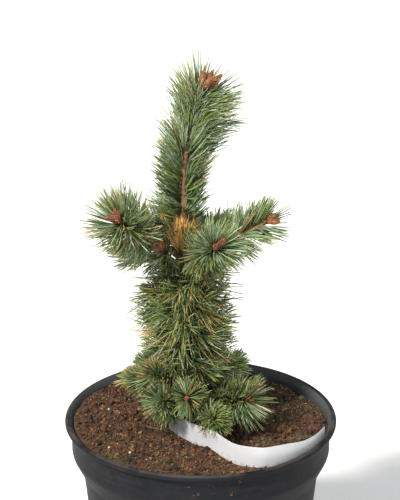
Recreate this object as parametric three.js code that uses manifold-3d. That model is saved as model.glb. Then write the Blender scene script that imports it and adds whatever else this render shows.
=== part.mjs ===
// A young bristlecone pine, 30 cm tall, growing in a round black nursery pot.
//
// Millimetres, +Z up, -Y towards the viewer. The origin is the centre of the pot's flat underside.
// The trunk runs whole from its flat cut on the potting mix to its tip. Boughs leave it in a low ring
// and in a whorl half way up, each one carries a mass of needles, and two more masses of needles
// stand round the trunk itself. Every piece keeps 0.3 mm clear of its neighbours.
import * as THREE from "three";
import { mergeVertices } from "three/addons/utils/BufferGeometryUtils.js";
import Module from "manifold-3d";

const wasm = await Module();
wasm.setup();

// Driving dimensions
const GAP = 0.3;
const POT = {
  height: 185,
  rimRadius: 112,
  lipWidth: 4.6,
  lipDepth: 5.5,
  lipRound: 0.9,
  collarRadius: 106.6,
  neckRadius: 97.5,
  // Share of the way out from the neck to the collar, and depth below the rim
  shoulder: [[0, 47], [0.4, 40], [0.9, 31], [1, 28]],
  footRadius: 83,
  footBevel: 2.5,
  wall: 1.7,
  floor: 3,
  sides: 36,
  drainHoles: 8,
  drainRadius: 5.5,
  drainRing: 66,
  drainSides: 8,
};

// The potting mix: a level seat round the trunk, and an open surface of low waves that falls away
// to the right and the back. A wave has its slope along x and y, its start and its height.
const MIX = {
  depthBelowRim: 6,
  openDrop: 1,
  seatRadius: 24,
  seatBlend: 22,
  fallToRight: 3,
  fallToBack: 2.2,
  rings: 5,
  waves: [
    { x: 0.11, y: 0.09, start: 1.3, height: 0.55 },
    { x: 0.11, y: -0.09, start: 1.3, height: 0.55 },
    { x: 0.06, y: -0.13, start: 0.4, height: 0.65 },
  ],
};
const SOIL_LEVEL = POT.height - MIX.depthBelowRim;

const TRUNK = {
  // The line that the trunk's lean follows, with heights above the potting mix
  line: [
    [-8, 3, 0],
    [-11, 3.5, 45],
    [-13.5, 3, 95],
    [-15, 2.5, 140],
    [-13, 2, 190],
    [-11.5, 1, 235],
    [-4.5, 0, 262],
    [1.5, -1, 283],
  ],
  footRadius: 5.8,
  tipRadius: 1.6,
  taperPower: 1.1,
  flare: 3.6,
  flareHeight: 9,
  flareLobes: 5,
  lobeDepth: 0.22,
  barkRelief: 0.05,
  rings: 25,
  ringPower: 1.15,
  sides: 9,
};

// One needle in the model stands for a bundle of five. It is a slim pyramid raised on one small face of
// its twig, and the twig's faces lie in bands, each turned by half a face against the one before it.
const NEEDLE = {
  share: 0.8,
  tries: 4,
  shortest: 0.4,
  lengthSpread: 0.3,
  step: 1.2,
  clear: 0.35,
  fromLimbs: 0.5,
  widthShare: 0.45,
  rootLength: 3,
  aboveMix: 1.4,
  insideRim: 5,
};
const SLEEVE = {
  thickness: 1.7,
  sides: 13,
  band: 3.3,
  boreSides: 8,
  extraRoom: 9,
  roomBelow: 8,
  jitter: 22,
};
const STEM = {
  baseRadius: 2,
  tipRadius: 1.5,
  sides: 5,
  band: 2.5,
  spreadAtBase: 74,
  spreadAtTip: 40,
  jitter: 24,
};
const BOUGH = { baseRadius: 2.3, tipRadius: 2, sides: 6, rings: 4 };
const BUD = {
  sides: 5,
  radius: 2.6,
  shape: [0.65, 1, 0.2],
  clusterLength: 11.5,
  singleLength: 8,
  splay: 27,
  firstTurn: 0.5,
  apart: 1,
  shorterBy: 0.06,
  pointShare: 0.4,
};
const KNOB = { baseRadius: 1.7, topRadius: 2.2, length: 2.6, budsSunk: 0.9 };
const LEADER_BUDS = { count: 5, length: 14 };

// Where the seeded draws start
const SEEDS = { bark: 11, sleeves: 101, shoots: 211 };

// Masses of needles on the trunk itself: heights above the mix, and the needles' lean above level, in degrees
const SLEEVES = [
  { name: "column_needles", from: 45, to: 131, length: 43, leanFrom: -42, leanTo: 30, leanPower: 0.85 },
  { name: "leader_needles", from: 158, to: 277, length: 33, leanFrom: 18, leanTo: 52, leanPower: 0.8 },
];
// A cone parts the two: its height at the trunk, and its slope outward
const PARTING = { height: 146, slope: 0.35 };

// Each shoot leaves the trunk at a height, bends by way of a point and ends at its tip, all above the mix.
// Its first stretch is the bare bough, and the rest is the stem of its mass of needles, each so long.
const SHOOTS = [
  { name: "left_bough", from: 147, via: [-50, -9, 163], tip: [-62, -41, 188], bare: 15, long: 31, buds: 3 },
  { name: "front_bough", from: 141, via: [2, -18, 151], tip: [12, -48, 170], bare: 13, long: 28, buds: 2 },
  { name: "right_bough", from: 146, via: [22, 3, 153], tip: [54, 8, 170], bare: 15, long: 29, buds: 2 },
  {
    name: "short_left_bough", from: 136, via: [-22, -7, 143], tip: [-31, -19, 155],
    bare: 9.5, long: 20, buds: 2,
  },
  { name: "lower_left_bough", from: 134.5, via: [-35, 8, 136], tip: [-54, 11, 139], bare: 13, long: 29 },
  { name: "back_right_bough", from: 138.5, via: [2, 28, 139], tip: [16, 46, 151], bare: 13, long: 30 },
  { name: "back_left_bough", from: 141, via: [-30, 28, 143], tip: [-40, 45, 157], bare: 13, long: 30 },
  { name: "low_front_left_bough", from: 19, via: [-22, -12, 24], tip: [-30, -35, 33], bare: 13, long: 25 },
  {
    name: "low_front_bough", from: 28, via: [-10, -20, 31], tip: [-11, -39, 38],
    bare: 12.5, long: 23, buds: 1,
  },
  { name: "low_front_right_bough", from: 15, via: [2, -22, 16], tip: [12, -46, 22], bare: 14, long: 22 },
  { name: "low_right_bough", from: 17, via: [20, -2, 20], tip: [38, -24, 29], bare: 14, long: 28, buds: 1 },
  { name: "left_spur", from: 38, via: [-27, -6, 41], tip: [-36, -15, 48], bare: 11.5, long: 28 },
  { name: "low_left_bough", from: 27, via: [-32, 2, 29], tip: [-51, 1, 36], bare: 13, long: 28 },
  { name: "right_spur", from: 40, via: [12, 6, 41], tip: [30, 8, 48], bare: 12, long: 29 },
  { name: "low_back_left_bough", from: 20, via: [-26, 22, 22], tip: [-40, 38, 32], bare: 13, long: 27 },
  { name: "back_spur", from: 35, via: [-8, 28, 37], tip: [-7, 46, 44], bare: 12.5, long: 28 },
  { name: "low_back_right_bough", from: 19, via: [18, 20, 21], tip: [36, 36, 30], bare: 13.5, long: 27 },
];

// The blank plant label: a plastic strip on its edge, whose narrow tail is looped round the foot of the trunk
const LABEL = {
  thickness: 0.6,
  tailHeight: 7,
  bandHeight: 17.5,
  endHeight: 10,
  sunk: 1.5,
  steps: 38,
  // Shares of its length: where the tail widens into the band, and where the band narrows again
  widenFrom: 0.37,
  widenTo: 0.42,
  narrowFrom: 0.72,
  // Plan of the strip, from the end of the loop round the trunk to the end at the pot's right wall
  plan: [
    [5, -9], [8, 4], [-2, 17], [-16, 16], [-24, 3], [-25, -14], [-20.5, -26],
    [-9, -37], [5, -51], [19, -67], [33, -80], [47, -85], [62, -80.5], [76, -70], [90, -51], [100.5, -26],
  ],
};

const COLOURS = {
  pot: new THREE.MeshStandardMaterial({ color: 0x2b2d30, roughness: 0.55, metalness: 0 }),
  mix: new THREE.MeshStandardMaterial({ color: 0x5a3a28, roughness: 1, metalness: 0 }),
  bark: new THREE.MeshStandardMaterial({ color: 0x7a5f47, roughness: 0.95, metalness: 0 }),
  needles: new THREE.MeshStandardMaterial({ color: 0x6f8a54, roughness: 0.6, metalness: 0 }),
  buds: new THREE.MeshStandardMaterial({ color: 0x9a4a2c, roughness: 0.8, metalness: 0 }),
  label: new THREE.MeshStandardMaterial({ color: 0xe8e8e6, roughness: 0.4, metalness: 0 }),
};

// Small tools
const { degToRad, lerp, smoothstep, clamp } = THREE.MathUtils;
const UP = new THREE.Vector3(0, 0, 1);
const BACK = new THREE.Vector3(0, 1, 0);
const fullTurn = 2 * Math.PI;

function seeded(seed) {
  let state = seed >>> 0;
  return () => {
    state = (state + 0x6d2b79f5) >>> 0;
    let t = state;
    t = Math.imul(t ^ (t >>> 15), t | 1);
    t ^= t + Math.imul(t ^ (t >>> 7), t | 61);
    return ((t ^ (t >>> 14)) >>> 0) / 4294967296;
  };
}

const jittered = (random, spread) => spread * (random() - 0.5);

// A closed geometry as a solid that can be joined and cut
function solidOf(geometry) {
  const bare = geometry.clone();
  bare.deleteAttribute("normal");
  bare.deleteAttribute("uv");
  const merged = mergeVertices(bare, 1e-4);
  const kept = [];
  const index = merged.index.array;
  for (let i = 0; i < index.length; i += 3) {
    const [a, b, c] = [index[i], index[i + 1], index[i + 2]];
    if (a !== b && b !== c && c !== a) kept.push(a, b, c);
  }
  const vertProperties = merged.attributes.position.array;
  const build = (triVerts) =>
    new wasm.Manifold(new wasm.Mesh({ numProp: 3, vertProperties, triVerts: new Uint32Array(triVerts) }));
  const made = build(kept);
  return made.volume() < 0 ? build(kept.reverse()) : made;
}

function solidFrom(corners, index) {
  const geometry = new THREE.BufferGeometry();
  const position = corners.flatMap((p) => [p.x, p.y, p.z]);
  geometry.setAttribute("position", new THREE.Float32BufferAttribute(position, 3));
  geometry.setIndex(index);
  return solidOf(geometry);
}

function geometryOf(solid) {
  const mesh = solid.getMesh();
  const geometry = new THREE.BufferGeometry();
  const count = mesh.vertProperties.length / mesh.numProp;
  const position = new Float32Array(count * 3);
  for (let i = 0; i < count; i++) {
    position.set(mesh.vertProperties.subarray(i * mesh.numProp, i * mesh.numProp + 3), i * 3);
  }
  geometry.setAttribute("position", new THREE.BufferAttribute(position, 3));
  geometry.setIndex(new THREE.BufferAttribute(new Uint32Array(mesh.triVerts), 1));
  geometry.computeVertexNormals();
  return geometry;
}

// Joins the pieces into one body
const joined = (pieces) => pieces.reduce((a, b) => a.add(b));

const part = new THREE.Group();
function addNode(name, solid, material) {
  const mesh = new THREE.Mesh(geometryOf(solid), material);
  mesh.name = name;
  part.add(mesh);
}

const directionAt = (points, i) =>
  points[Math.min(i + 1, points.length - 1)].clone().sub(points[Math.max(i - 1, 0)]).normalize();
const acrossTo = (along) =>
  new THREE.Vector3().crossVectors(along, Math.abs(along.z) > 0.9 ? BACK : UP).normalize();
const leaning = (flat, up, angle) =>
  flat.clone().multiplyScalar(Math.cos(angle)).addScaledVector(up, Math.sin(angle)).normalize();

// Rings of corners round a line of points. Each ring is turned by a share of a side against the one before
// it, and a foot that stands on the ground is cut level.
function ringsAlong(points, radiusAt, sides, turnStep = 0, levelFoot = false) {
  const corners = [];
  let side = new THREE.Vector3();
  const directions = points.map((point, i) => {
    const along = i === 0 && levelFoot ? UP.clone() : directionAt(points, i);
    if (i === 0) side = acrossTo(along);
    side.addScaledVector(along, -side.dot(along)).normalize();
    const other = along.clone().cross(side);
    for (let k = 0; k < sides; k++) {
      const turn = (fullTurn * (k + turnStep * i)) / sides;
      const r = radiusAt(i, k, turn);
      const flat = side.clone().multiplyScalar(r * Math.cos(turn)).addScaledVector(other, r * Math.sin(turn));
      corners.push(flat.add(point));
    }
    return along;
  });
  return { corners, directions };
}

// A tapering limb along a line of points, with flat ends
function limb(points, radiusAt, sides, levelFoot = false) {
  const { corners } = ringsAlong(points, radiusAt, sides, 0, levelFoot);
  const top = (points.length - 1) * sides;
  const [firstEnd, lastEnd] = [corners.length, corners.length + 1];
  corners.push(points[0], points[points.length - 1]);
  const index = [];
  for (let k = 0; k < sides; k++) {
    const next = (k + 1) % sides;
    for (let low = 0; low < top; low += sides) {
      const [a, b] = [low + k, low + next];
      index.push(a, b, b + sides, a, b + sides, a + sides);
    }
    index.push(firstEnd, next, k, lastEnd, top + k, top + next);
  }
  return solidFrom(corners, index);
}

// The nearest point of a line of points, and the distance from its surface
function nearestOn(line, p) {
  let best = { distance: Infinity };
  for (let i = 0; i + 1 < line.points.length; i++) {
    const a = line.points[i];
    const ab = line.points[i + 1].clone().sub(a);
    const t = clamp(p.clone().sub(a).dot(ab) / ab.lengthSq(), 0, 1);
    const foot = a.clone().addScaledVector(ab, t);
    const distance = foot.distanceTo(p) - lerp(line.radii[i], line.radii[i + 1], t);
    if (distance < best.distance) best = { distance, foot };
  }
  return best;
}

// The pot: a rolled lip, a deep collar, a shoulder and a tapering body, turned about its axis. Its wall
// from foot to collar, as radius and height, is the outer face or is set in by the wall's thickness.
function potWall(inset) {
  const shoulder = POT.shoulder.map(([share, depth]) =>
    [lerp(POT.neckRadius, POT.collarRadius, share) - inset, POT.height - depth]);
  return [[POT.footRadius - inset, inset ? POT.floor : POT.footBevel], ...shoulder];
}

function potSolid() {
  const rim = POT.height;
  const lipInner = POT.rimRadius - POT.lipWidth;
  const profile = [
    [0, 0],
    [POT.footRadius - POT.footBevel, 0],
    ...potWall(0),
    [POT.collarRadius, rim - POT.lipDepth],
    [POT.rimRadius - POT.lipRound / 2, rim - POT.lipDepth + POT.lipRound],
    [POT.rimRadius, rim - POT.lipDepth / 2],
    [POT.rimRadius - POT.lipRound, rim - POT.lipRound],
    [(POT.rimRadius + lipInner) / 2, rim],
    [lipInner, rim - POT.lipRound],
    [POT.collarRadius - POT.wall, rim - POT.lipDepth],
    ...potWall(POT.wall).reverse(),
    [0, POT.floor],
  ];
  const lathe = new THREE.LatheGeometry(profile.map(([r, z]) => new THREE.Vector2(r, z)), POT.sides);
  let pot = solidOf(lathe.rotateX(Math.PI / 2));
  for (let i = 0; i < POT.drainHoles; i++) {
    const turn = (fullTurn * (i + 0.5)) / POT.drainHoles;
    const drill = new THREE.CylinderGeometry(POT.drainRadius, POT.drainRadius, 4 * POT.floor, POT.drainSides);
    drill.rotateX(Math.PI / 2).translate(POT.drainRing * Math.cos(turn), POT.drainRing * Math.sin(turn), 0);
    pot = pot.subtract(solidOf(drill));
  }
  return pot;
}

function mixHeight(x, y) {
  const waves = MIX.waves.reduce((sum, w) => sum + w.height * Math.sin(w.x * x + w.y * y + w.start), 0);
  const fall = (MIX.fallToRight * x + MIX.fallToBack * y) / POT.rimRadius;
  const [footX, footY] = TRUNK.line[0];
  const away = Math.hypot(x - footX, y - footY);
  const open = smoothstep(away, MIX.seatRadius, MIX.seatRadius + MIX.seatBlend);
  return SOIL_LEVEL + open * (waves - fall - MIX.openDrop);
}

function mixSolid() {
  const sides = POT.sides;
  const wall = potWall(POT.wall).map(([r, z]) => [r - GAP, Math.max(z, POT.floor + GAP)]).reverse();
  const [topRadius] = wall[0];
  const surface = Array.from({ length: MIX.rings }, (_, i) => [(topRadius * (i + 1)) / MIX.rings]);
  const rings = [...surface, ...wall];
  const corners = rings.flatMap(([r, z]) => Array.from({ length: sides }, (_, k) => {
    const turn = (fullTurn * k) / sides;
    const [x, y] = [r * Math.sin(turn), r * Math.cos(turn)];
    return new THREE.Vector3(x, y, z ?? mixHeight(x, y));
  }));
  const last = (rings.length - 1) * sides;
  const [top, bottom] = [corners.length, corners.length + 1];
  corners.push(new THREE.Vector3(0, 0, mixHeight(0, 0)), new THREE.Vector3(0, 0, POT.floor + GAP));
  const index = [];
  for (let k = 0; k < sides; k++) {
    const next = (k + 1) % sides;
    for (let low = 0; low < last; low += sides) {
      const [a, b] = [low + k, low + next];
      index.push(a, b, b + sides, a, b + sides, a + sides);
    }
    index.push(top, next, k, bottom, last + k, last + next);
  }
  return solidFrom(corners, index);
}

// The trunk
const above = ([x, y, z]) => new THREE.Vector3(x, y, z + SOIL_LEVEL + GAP);
const heightOf = (p) => p.z - SOIL_LEVEL - GAP;
const trunkTop = TRUNK.line[TRUNK.line.length - 1][2];
const trunkCurve = new THREE.CatmullRomCurve3(TRUNK.line.map(above));
const trunkPoints = Array.from({ length: TRUNK.rings + 1 }, (_, i) =>
  trunkCurve.getPointAt((i / TRUNK.rings) ** TRUNK.ringPower));

function trunkRadius(height) {
  const left = Math.max(1 - height / trunkTop, 0) ** TRUNK.taperPower;
  return lerp(TRUNK.tipRadius, TRUNK.footRadius, left) + TRUNK.flare * Math.exp(-height / TRUNK.flareHeight);
}

function trunkSolid(grow) {
  const random = seeded(SEEDS.bark);
  const relief = trunkPoints.map(() => Array.from({ length: TRUNK.sides }, () => jittered(random, 2)));
  const radiusAt = (i, k, turn) => {
    const height = heightOf(trunkPoints[i]);
    const lobes = TRUNK.lobeDepth * Math.exp(-height / TRUNK.flareHeight) * Math.cos(TRUNK.flareLobes * turn);
    return trunkRadius(height) * (1 + lobes + TRUNK.barkRelief * relief[i][k]) + grow;
  };
  return limb(trunkPoints, radiusAt, TRUNK.sides, true);
}

function trunkPointAt(height) {
  const i = Math.max(trunkPoints.findIndex((p) => heightOf(p) >= height), 1);
  const [a, b] = [trunkPoints[i - 1], trunkPoints[i]];
  return a.clone().lerp(b, (height - heightOf(a)) / (heightOf(b) - heightOf(a)));
}

// A sleeve of needles clears the bark all round, so its bore is measured at the middle of its flat sides
function sleeveRadii(height) {
  const flats = Math.cos(Math.PI / SLEEVE.boreSides);
  const inner = (trunkRadius(height) * (1 + TRUNK.barkRelief) + GAP) / flats;
  return { inner, outer: inner + SLEEVE.thickness };
}

// A stretch of a curve, from one length along it to another, with its radii
function stretch(curve, from, to, radiusFrom, radiusTo, steps) {
  const whole = curve.getLength();
  const shares = Array.from({ length: steps + 1 }, (_, i) => i / steps);
  return {
    points: shares.map((share) => curve.getPointAt(lerp(from, to, share) / whole)),
    radii: shares.map((share) => lerp(radiusFrom, radiusTo, share)),
  };
}

// A cluster of pointed buds beyond a tip: where each one starts, its direction and its length
function budCluster(tip, along, count, length) {
  const side = acrossTo(along);
  return Array.from({ length: count }, (_, i) => {
    const alone = count === 1;
    const out = side.clone().applyAxisAngle(along, (fullTurn * i) / Math.max(count, 2) + BUD.firstTurn);
    const direction = leaning(along, out, degToRad(alone ? 0 : BUD.splay));
    const root = tip.clone().addScaledVector(along, GAP + KNOB.budsSunk);
    if (!alone) root.addScaledVector(out, BUD.apart);
    return { root, direction, length: length * (1 - BUD.shorterBy * (i % 3)) };
  });
}

function budSolid(buds, tip, along) {
  const last = BUD.shape.length - 1;
  const pieces = buds.map((bud) => {
    const end = bud.root.clone().addScaledVector(bud.direction, bud.length);
    const points = BUD.shape.map((_, i) => bud.root.clone().lerp(end, i / last));
    return limb(points, (i) => BUD.radius * BUD.shape[i], BUD.sides);
  });
  const base = tip.clone().addScaledVector(along, GAP);
  const knob = [base, base.clone().addScaledVector(along, KNOB.length)];
  return joined([limb(knob, (i) => (i ? KNOB.topRadius : KNOB.baseRadius), BUD.sides), ...pieces]);
}

const shoots = SHOOTS.map((shoot, order) => {
  const curve = new THREE.QuadraticBezierCurve3(trunkPointAt(shoot.from), above(shoot.via), above(shoot.tip));
  const length = curve.getLength();
  const bands = Math.round((length - shoot.bare) / STEM.band);
  const tip = curve.getPointAt(1);
  const along = curve.getTangentAt(1);
  const budLength = shoot.buds > 1 ? BUD.clusterLength : BUD.singleLength;
  return {
    ...shoot,
    order,
    tip,
    along,
    bough: stretch(curve, 0, shoot.bare, BOUGH.baseRadius, BOUGH.tipRadius, BOUGH.rings),
    stem: stretch(curve, shoot.bare + GAP, length, STEM.baseRadius, STEM.tipRadius, bands),
    buds: budCluster(tip, along, shoot.buds ?? 0, budLength),
  };
});
const leaderTip = trunkPoints[trunkPoints.length - 1];
const leaderAlong = directionAt(trunkPoints, trunkPoints.length - 1);
const leaderBuds = budCluster(leaderTip, leaderAlong, LEADER_BUDS.count, LEADER_BUDS.length);

const labelPlan = new THREE.CatmullRomCurve3(LABEL.plan.map(([x, y]) => new THREE.Vector3(x, y, 0)));
const labelLine = Array.from({ length: LABEL.steps + 1 }, (_, i) => {
  const share = i / LABEL.steps;
  const { x, y } = labelPlan.getPointAt(share);
  const wide = smoothstep(share, LABEL.widenFrom, LABEL.widenTo);
  const band = lerp(LABEL.bandHeight, LABEL.endHeight, smoothstep(share, LABEL.narrowFrom, 1));
  const ground = mixHeight(x, y);
  return { x, y, low: ground - LABEL.sunk, high: ground + lerp(LABEL.tailHeight, band, wide) };
});

// The label's lower edge follows the potting mix, which is cut away from it
function labelSolid(mix) {
  const last = labelLine.length - 1;
  const corners = labelLine.flatMap((p, i) => {
    const [a, b] = [labelLine[Math.max(i - 1, 0)], labelLine[Math.min(i + 1, last)]];
    const across = new THREE.Vector2(a.y - b.y, b.x - a.x).setLength(LABEL.thickness / 2);
    return [[-1, p.low], [1, p.low], [1, p.high], [-1, p.high]].map(([sign, z]) =>
      new THREE.Vector3(p.x + sign * across.x, p.y + sign * across.y, z));
  });
  const index = [0, 2, 1, 0, 3, 2];
  for (let low = 0; low < 4 * last; low += 4) {
    for (let k = 0; k < 4; k++) {
      const [a, b] = [low + k, low + ((k + 1) % 4)];
      index.push(a, b, b + 4, a, b + 4, a + 4);
    }
  }
  index.push(...[0, 1, 2, 0, 2, 3].map((corner) => 4 * last + corner));
  return solidFrom(corners, index).subtract(mix.translate([0, 0, GAP]));
}

// The axes that share out the space between the masses: a point belongs to the mass whose axis is nearest.
// The masses on the trunk have some extra room.
const axes = shoots.map((shoot) => ({ name: shoot.name, ...shoot.stem }));
axes.push({
  name: "trunk",
  points: trunkPoints,
  radii: trunkPoints.map((p) => {
    const height = heightOf(p);
    const sleeved = SLEEVES.some(({ from, to }) => height > from - SLEEVE.roomBelow && height < to);
    return sleeveRadii(height).outer + (sleeved ? SLEEVE.extraRoom : 0);
  }),
});

// What the needles have to miss: the boughs, the trunk and the buds
const obstacles = shoots.map((shoot) => ({ name: shoot.name, ...shoot.bough }));
obstacles.push({
  name: "trunk",
  points: trunkPoints,
  radii: trunkPoints.map((p) => trunkRadius(heightOf(p)) * (1 + 2 * TRUNK.barkRelief)),
});
for (const { root, direction, length } of [leaderBuds, ...shoots.map((shoot) => shoot.buds)].flat()) {
  const points = [root, root.clone().addScaledVector(direction, length)];
  obstacles.push({ name: "bud", points, radii: [BUD.radius, BUD.radius * BUD.pointShare] });
}

function clearOfPot(p, half) {
  if (p.z < mixHeight(p.x, p.y) + half + NEEDLE.aboveMix) return false;
  const away = Math.hypot(p.x, p.y);
  if (p.z < POT.height + half && away > POT.collarRadius - POT.wall - NEEDLE.insideRim) return false;
  return labelLine.slice(1).every((to, i) => {
    const from = labelLine[i];
    if (p.z > Math.max(from.high, to.high) + half + GAP) return true;
    const strip = new THREE.Line3(new THREE.Vector3(from.x, from.y, p.z), new THREE.Vector3(to.x, to.y, p.z));
    const nearest = strip.closestPointToPoint(p, true, new THREE.Vector3());
    return nearest.distanceTo(p) > half + LABEL.thickness / 2 + GAP;
  });
}

function inOwnSpace(p, space, half) {
  const margin = half + NEEDLE.clear;
  const distances = axes.map((axis) => nearestOn(axis, p).distance);
  const own = axes.findIndex((axis) => axis.name === space.name);
  const mine = distances[own];
  if (distances.some((other, i) => i !== own && other - mine < 2 * margin)) return false;
  if (space.tier === undefined) return true;
  const { foot } = nearestOn(axes[own], p);
  const out = Math.hypot(p.x - foot.x, p.y - foot.y);
  const beyond = heightOf(p) - PARTING.slope * out - PARTING.height;
  return space.tier === 0 ? beyond < -margin : beyond > margin;
}

// The first stretch of a needle may stand close to the limb that carries it
const clearOfLimbs = (p, half, carrier) =>
  obstacles.every((limb) => limb.name === carrier || nearestOn(limb, p).distance > half + NEEDLE.fromLimbs);

// How far a needle may run from its root before it would leave its mass's space or come near a limb
function reachOf(root, direction, length, halfWidth, space) {
  for (let s = NEEDLE.step; s <= length; s += NEEDLE.step) {
    const p = root.clone().addScaledVector(direction, s);
    const half = halfWidth * (1 - s / length);
    const carrier = s < NEEDLE.rootLength ? space.name : null;
    const free = inOwnSpace(p, space, half) && clearOfPot(p, half) && clearOfLimbs(p, half, carrier);
    if (!free) return s - NEEDLE.step - GAP;
  }
  return length;
}

// True when a flat cut parts two needles, each given by its four corners
function parted(a, b) {
  const slack = 1e-4;
  const pairs = [[0, 1], [1, 2], [2, 0], [0, 3], [1, 3], [2, 3]];
  const edgesOf = (c) => pairs.map(([i, j]) => c[j].clone().sub(c[i]));
  const facesOf = (e) => [[0, 1], [0, 3], [1, 4], [2, 5]].map(([i, j]) => e[i].clone().cross(e[j]));
  const [edgesA, edgesB] = [edgesOf(a), edgesOf(b)];
  const crossings = edgesA.flatMap((e) => edgesB.map((f) => e.clone().cross(f)));
  return [...facesOf(edgesA), ...facesOf(edgesB), ...crossings].some((axis) => {
    if (axis.lengthSq() < 1e-6) return false;
    axis.normalize();
    const alongA = a.map((p) => p.dot(axis));
    const alongB = b.map((p) => p.dot(axis));
    const aFirst = Math.max(...alongA) <= Math.min(...alongB) + slack;
    return aFirst || Math.max(...alongB) <= Math.min(...alongA) + slack;
  });
}

// A twig whose surface is bands of small faces, with a needle raised on each face that a seeded draw picks.
// aim gives a needle's direction and length from its share of the way along, the twig's direction there and
// the direction outward. A needle that would touch one of the others is drawn again or left out.
function needledTwig({ points, radii, sides, seed, aim, space, tipNeedles }) {
  const random = seeded(seed);
  const { corners, directions } = ringsAlong(points, (i) => radii[i], sides, 0.5);
  const last = points.length - 1;
  const [firstEnd, lastEnd] = [corners.length, corners.length + 1];
  corners.push(points[0], points[last]);
  const faces = [];
  for (let k = 0; k < sides; k++) {
    const next = (k + 1) % sides;
    for (let i = 0; i < last; i++) {
      const [a, b] = [i * sides + k, i * sides + next];
      faces.push({ face: [a, b, a + sides], i }, { face: [b, b + sides, a + sides], i });
    }
    faces.push({ face: [firstEnd, next, k], i: null });
    faces.push({ face: [lastEnd, last * sides + k, last * sides + next], i: tipNeedles ? last : null });
  }
  const needles = [];
  const raise = (base, i) => {
    const root = base[0].clone().add(base[1]).add(base[2]).divideScalar(3);
    const along = directions[i];
    const out = root.clone().sub(points[i]);
    out.addScaledVector(along, -out.dot(along)).normalize();
    const halfWidth = NEEDLE.widthShare * base[0].distanceTo(base[1]);
    for (let n = 0; n < NEEDLE.tries; n++) {
      const { direction, length } = aim(i / last, along, out, random);
      const reach = reachOf(root, direction, length, halfWidth, space);
      if (reach < NEEDLE.shortest * length) continue;
      const needle = [...base, root.clone().addScaledVector(direction, reach)];
      if (needles.every((other) => parted(needle, other))) return needle;
    }
    return null;
  };
  const index = faces.flatMap(({ face: [a, b, c], i }) => {
    const picked = random() < NEEDLE.share && i !== null;
    const needle = picked ? raise([corners[a], corners[b], corners[c]], i) : null;
    if (!needle) return [a, b, c];
    needles.push(needle);
    const tip = corners.push(needle[3]) - 1;
    return [a, b, tip, b, c, tip, c, a, tip];
  });
  return solidFrom(corners, index);
}

const needleLength = (length, random) => length * (1 + jittered(random, NEEDLE.lengthSpread));

// Needles round the trunk: a thin sleeve cut clear of it, with needles standing out of the sleeve
function sleeveMass({ from, to, length, leanFrom, leanTo, leanPower }, tier) {
  const bands = Math.round((to - from) / SLEEVE.band);
  const points = Array.from({ length: bands + 1 }, (_, i) => trunkPointAt(lerp(from, to, i / bands)));
  const body = needledTwig({
    points,
    radii: points.map((p) => sleeveRadii(heightOf(p)).outer),
    sides: SLEEVE.sides,
    seed: SEEDS.sleeves + tier,
    space: { name: "trunk", tier },
    aim: (share, along, out, random) => {
      const lean = lerp(leanFrom, leanTo, share ** leanPower) + jittered(random, SLEEVE.jitter);
      return { direction: leaning(out, along, degToRad(lean)), length: needleLength(length, random) };
    },
  });
  const bore = limb(trunkPoints, (i) => sleeveRadii(heightOf(trunkPoints[i])).inner, SLEEVE.boreSides);
  return body.subtract(bore);
}

// Needles on a shoot: its stem runs on from the bough, and they spread from it and close up at its tip
function shootMass(shoot) {
  return needledTwig({
    ...shoot.stem,
    sides: STEM.sides,
    seed: SEEDS.shoots + shoot.order,
    space: { name: shoot.name },
    tipNeedles: shoot.buds.length === 0,
    aim: (share, along, out, random) => {
      const spread = lerp(STEM.spreadAtBase, STEM.spreadAtTip, share ** 2) + jittered(random, STEM.jitter);
      return { direction: leaning(along, out, degToRad(spread)), length: needleLength(shoot.long, random) };
    },
  });
}

const mix = mixSolid();
addNode("pot", potSolid(), COLOURS.pot);
addNode("potting_mix", mix, COLOURS.mix);
addNode("plant_label", labelSolid(mix), COLOURS.label);
addNode("trunk", trunkSolid(0), COLOURS.bark);
addNode("leader_buds", budSolid(leaderBuds, leaderTip, leaderAlong), COLOURS.buds);
SLEEVES.forEach((sleeve, tier) => addNode(sleeve.name, sleeveMass(sleeve, tier), COLOURS.needles));

const trunkRoom = trunkSolid(GAP);
for (const shoot of shoots) {
  const bough = limb(shoot.bough.points, (i) => shoot.bough.radii[i], BOUGH.sides).subtract(trunkRoom);
  addNode(shoot.name, bough, COLOURS.bark);
  addNode(`${shoot.name}_needles`, shootMass(shoot), COLOURS.needles);
  if (shoot.buds.length === 0) continue;
  addNode(`${shoot.name}_buds`, budSolid(shoot.buds, shoot.tip, shoot.along), COLOURS.buds);
}

export default part;
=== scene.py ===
# A young bristlecone pine in a round black nursery pot, with a blank plant label. The limbs, masses and
# potting mix follow the same named sizes and rules as the solids. Lengths are in millimetres until a mesh
# is made, +Z is up and -Y is towards the viewer.
import itertools
import math
from collections import namedtuple

import bpy
import numpy as np
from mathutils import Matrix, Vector


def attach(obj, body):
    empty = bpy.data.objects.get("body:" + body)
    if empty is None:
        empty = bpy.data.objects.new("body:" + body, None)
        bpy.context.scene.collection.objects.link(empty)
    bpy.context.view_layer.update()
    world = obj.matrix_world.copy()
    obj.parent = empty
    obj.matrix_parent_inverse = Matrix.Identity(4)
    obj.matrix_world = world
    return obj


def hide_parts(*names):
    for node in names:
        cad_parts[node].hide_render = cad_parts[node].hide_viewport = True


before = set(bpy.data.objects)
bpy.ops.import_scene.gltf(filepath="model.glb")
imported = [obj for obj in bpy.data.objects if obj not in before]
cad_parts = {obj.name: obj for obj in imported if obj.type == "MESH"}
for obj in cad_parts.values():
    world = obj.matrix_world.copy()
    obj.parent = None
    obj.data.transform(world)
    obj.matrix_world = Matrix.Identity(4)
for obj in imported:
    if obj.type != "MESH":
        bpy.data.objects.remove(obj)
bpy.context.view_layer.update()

# Sizes of the plant and its pot, as in the solids
METRES = 0.001
GAP = 0.3
SOIL_LEVEL = 179.0
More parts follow.
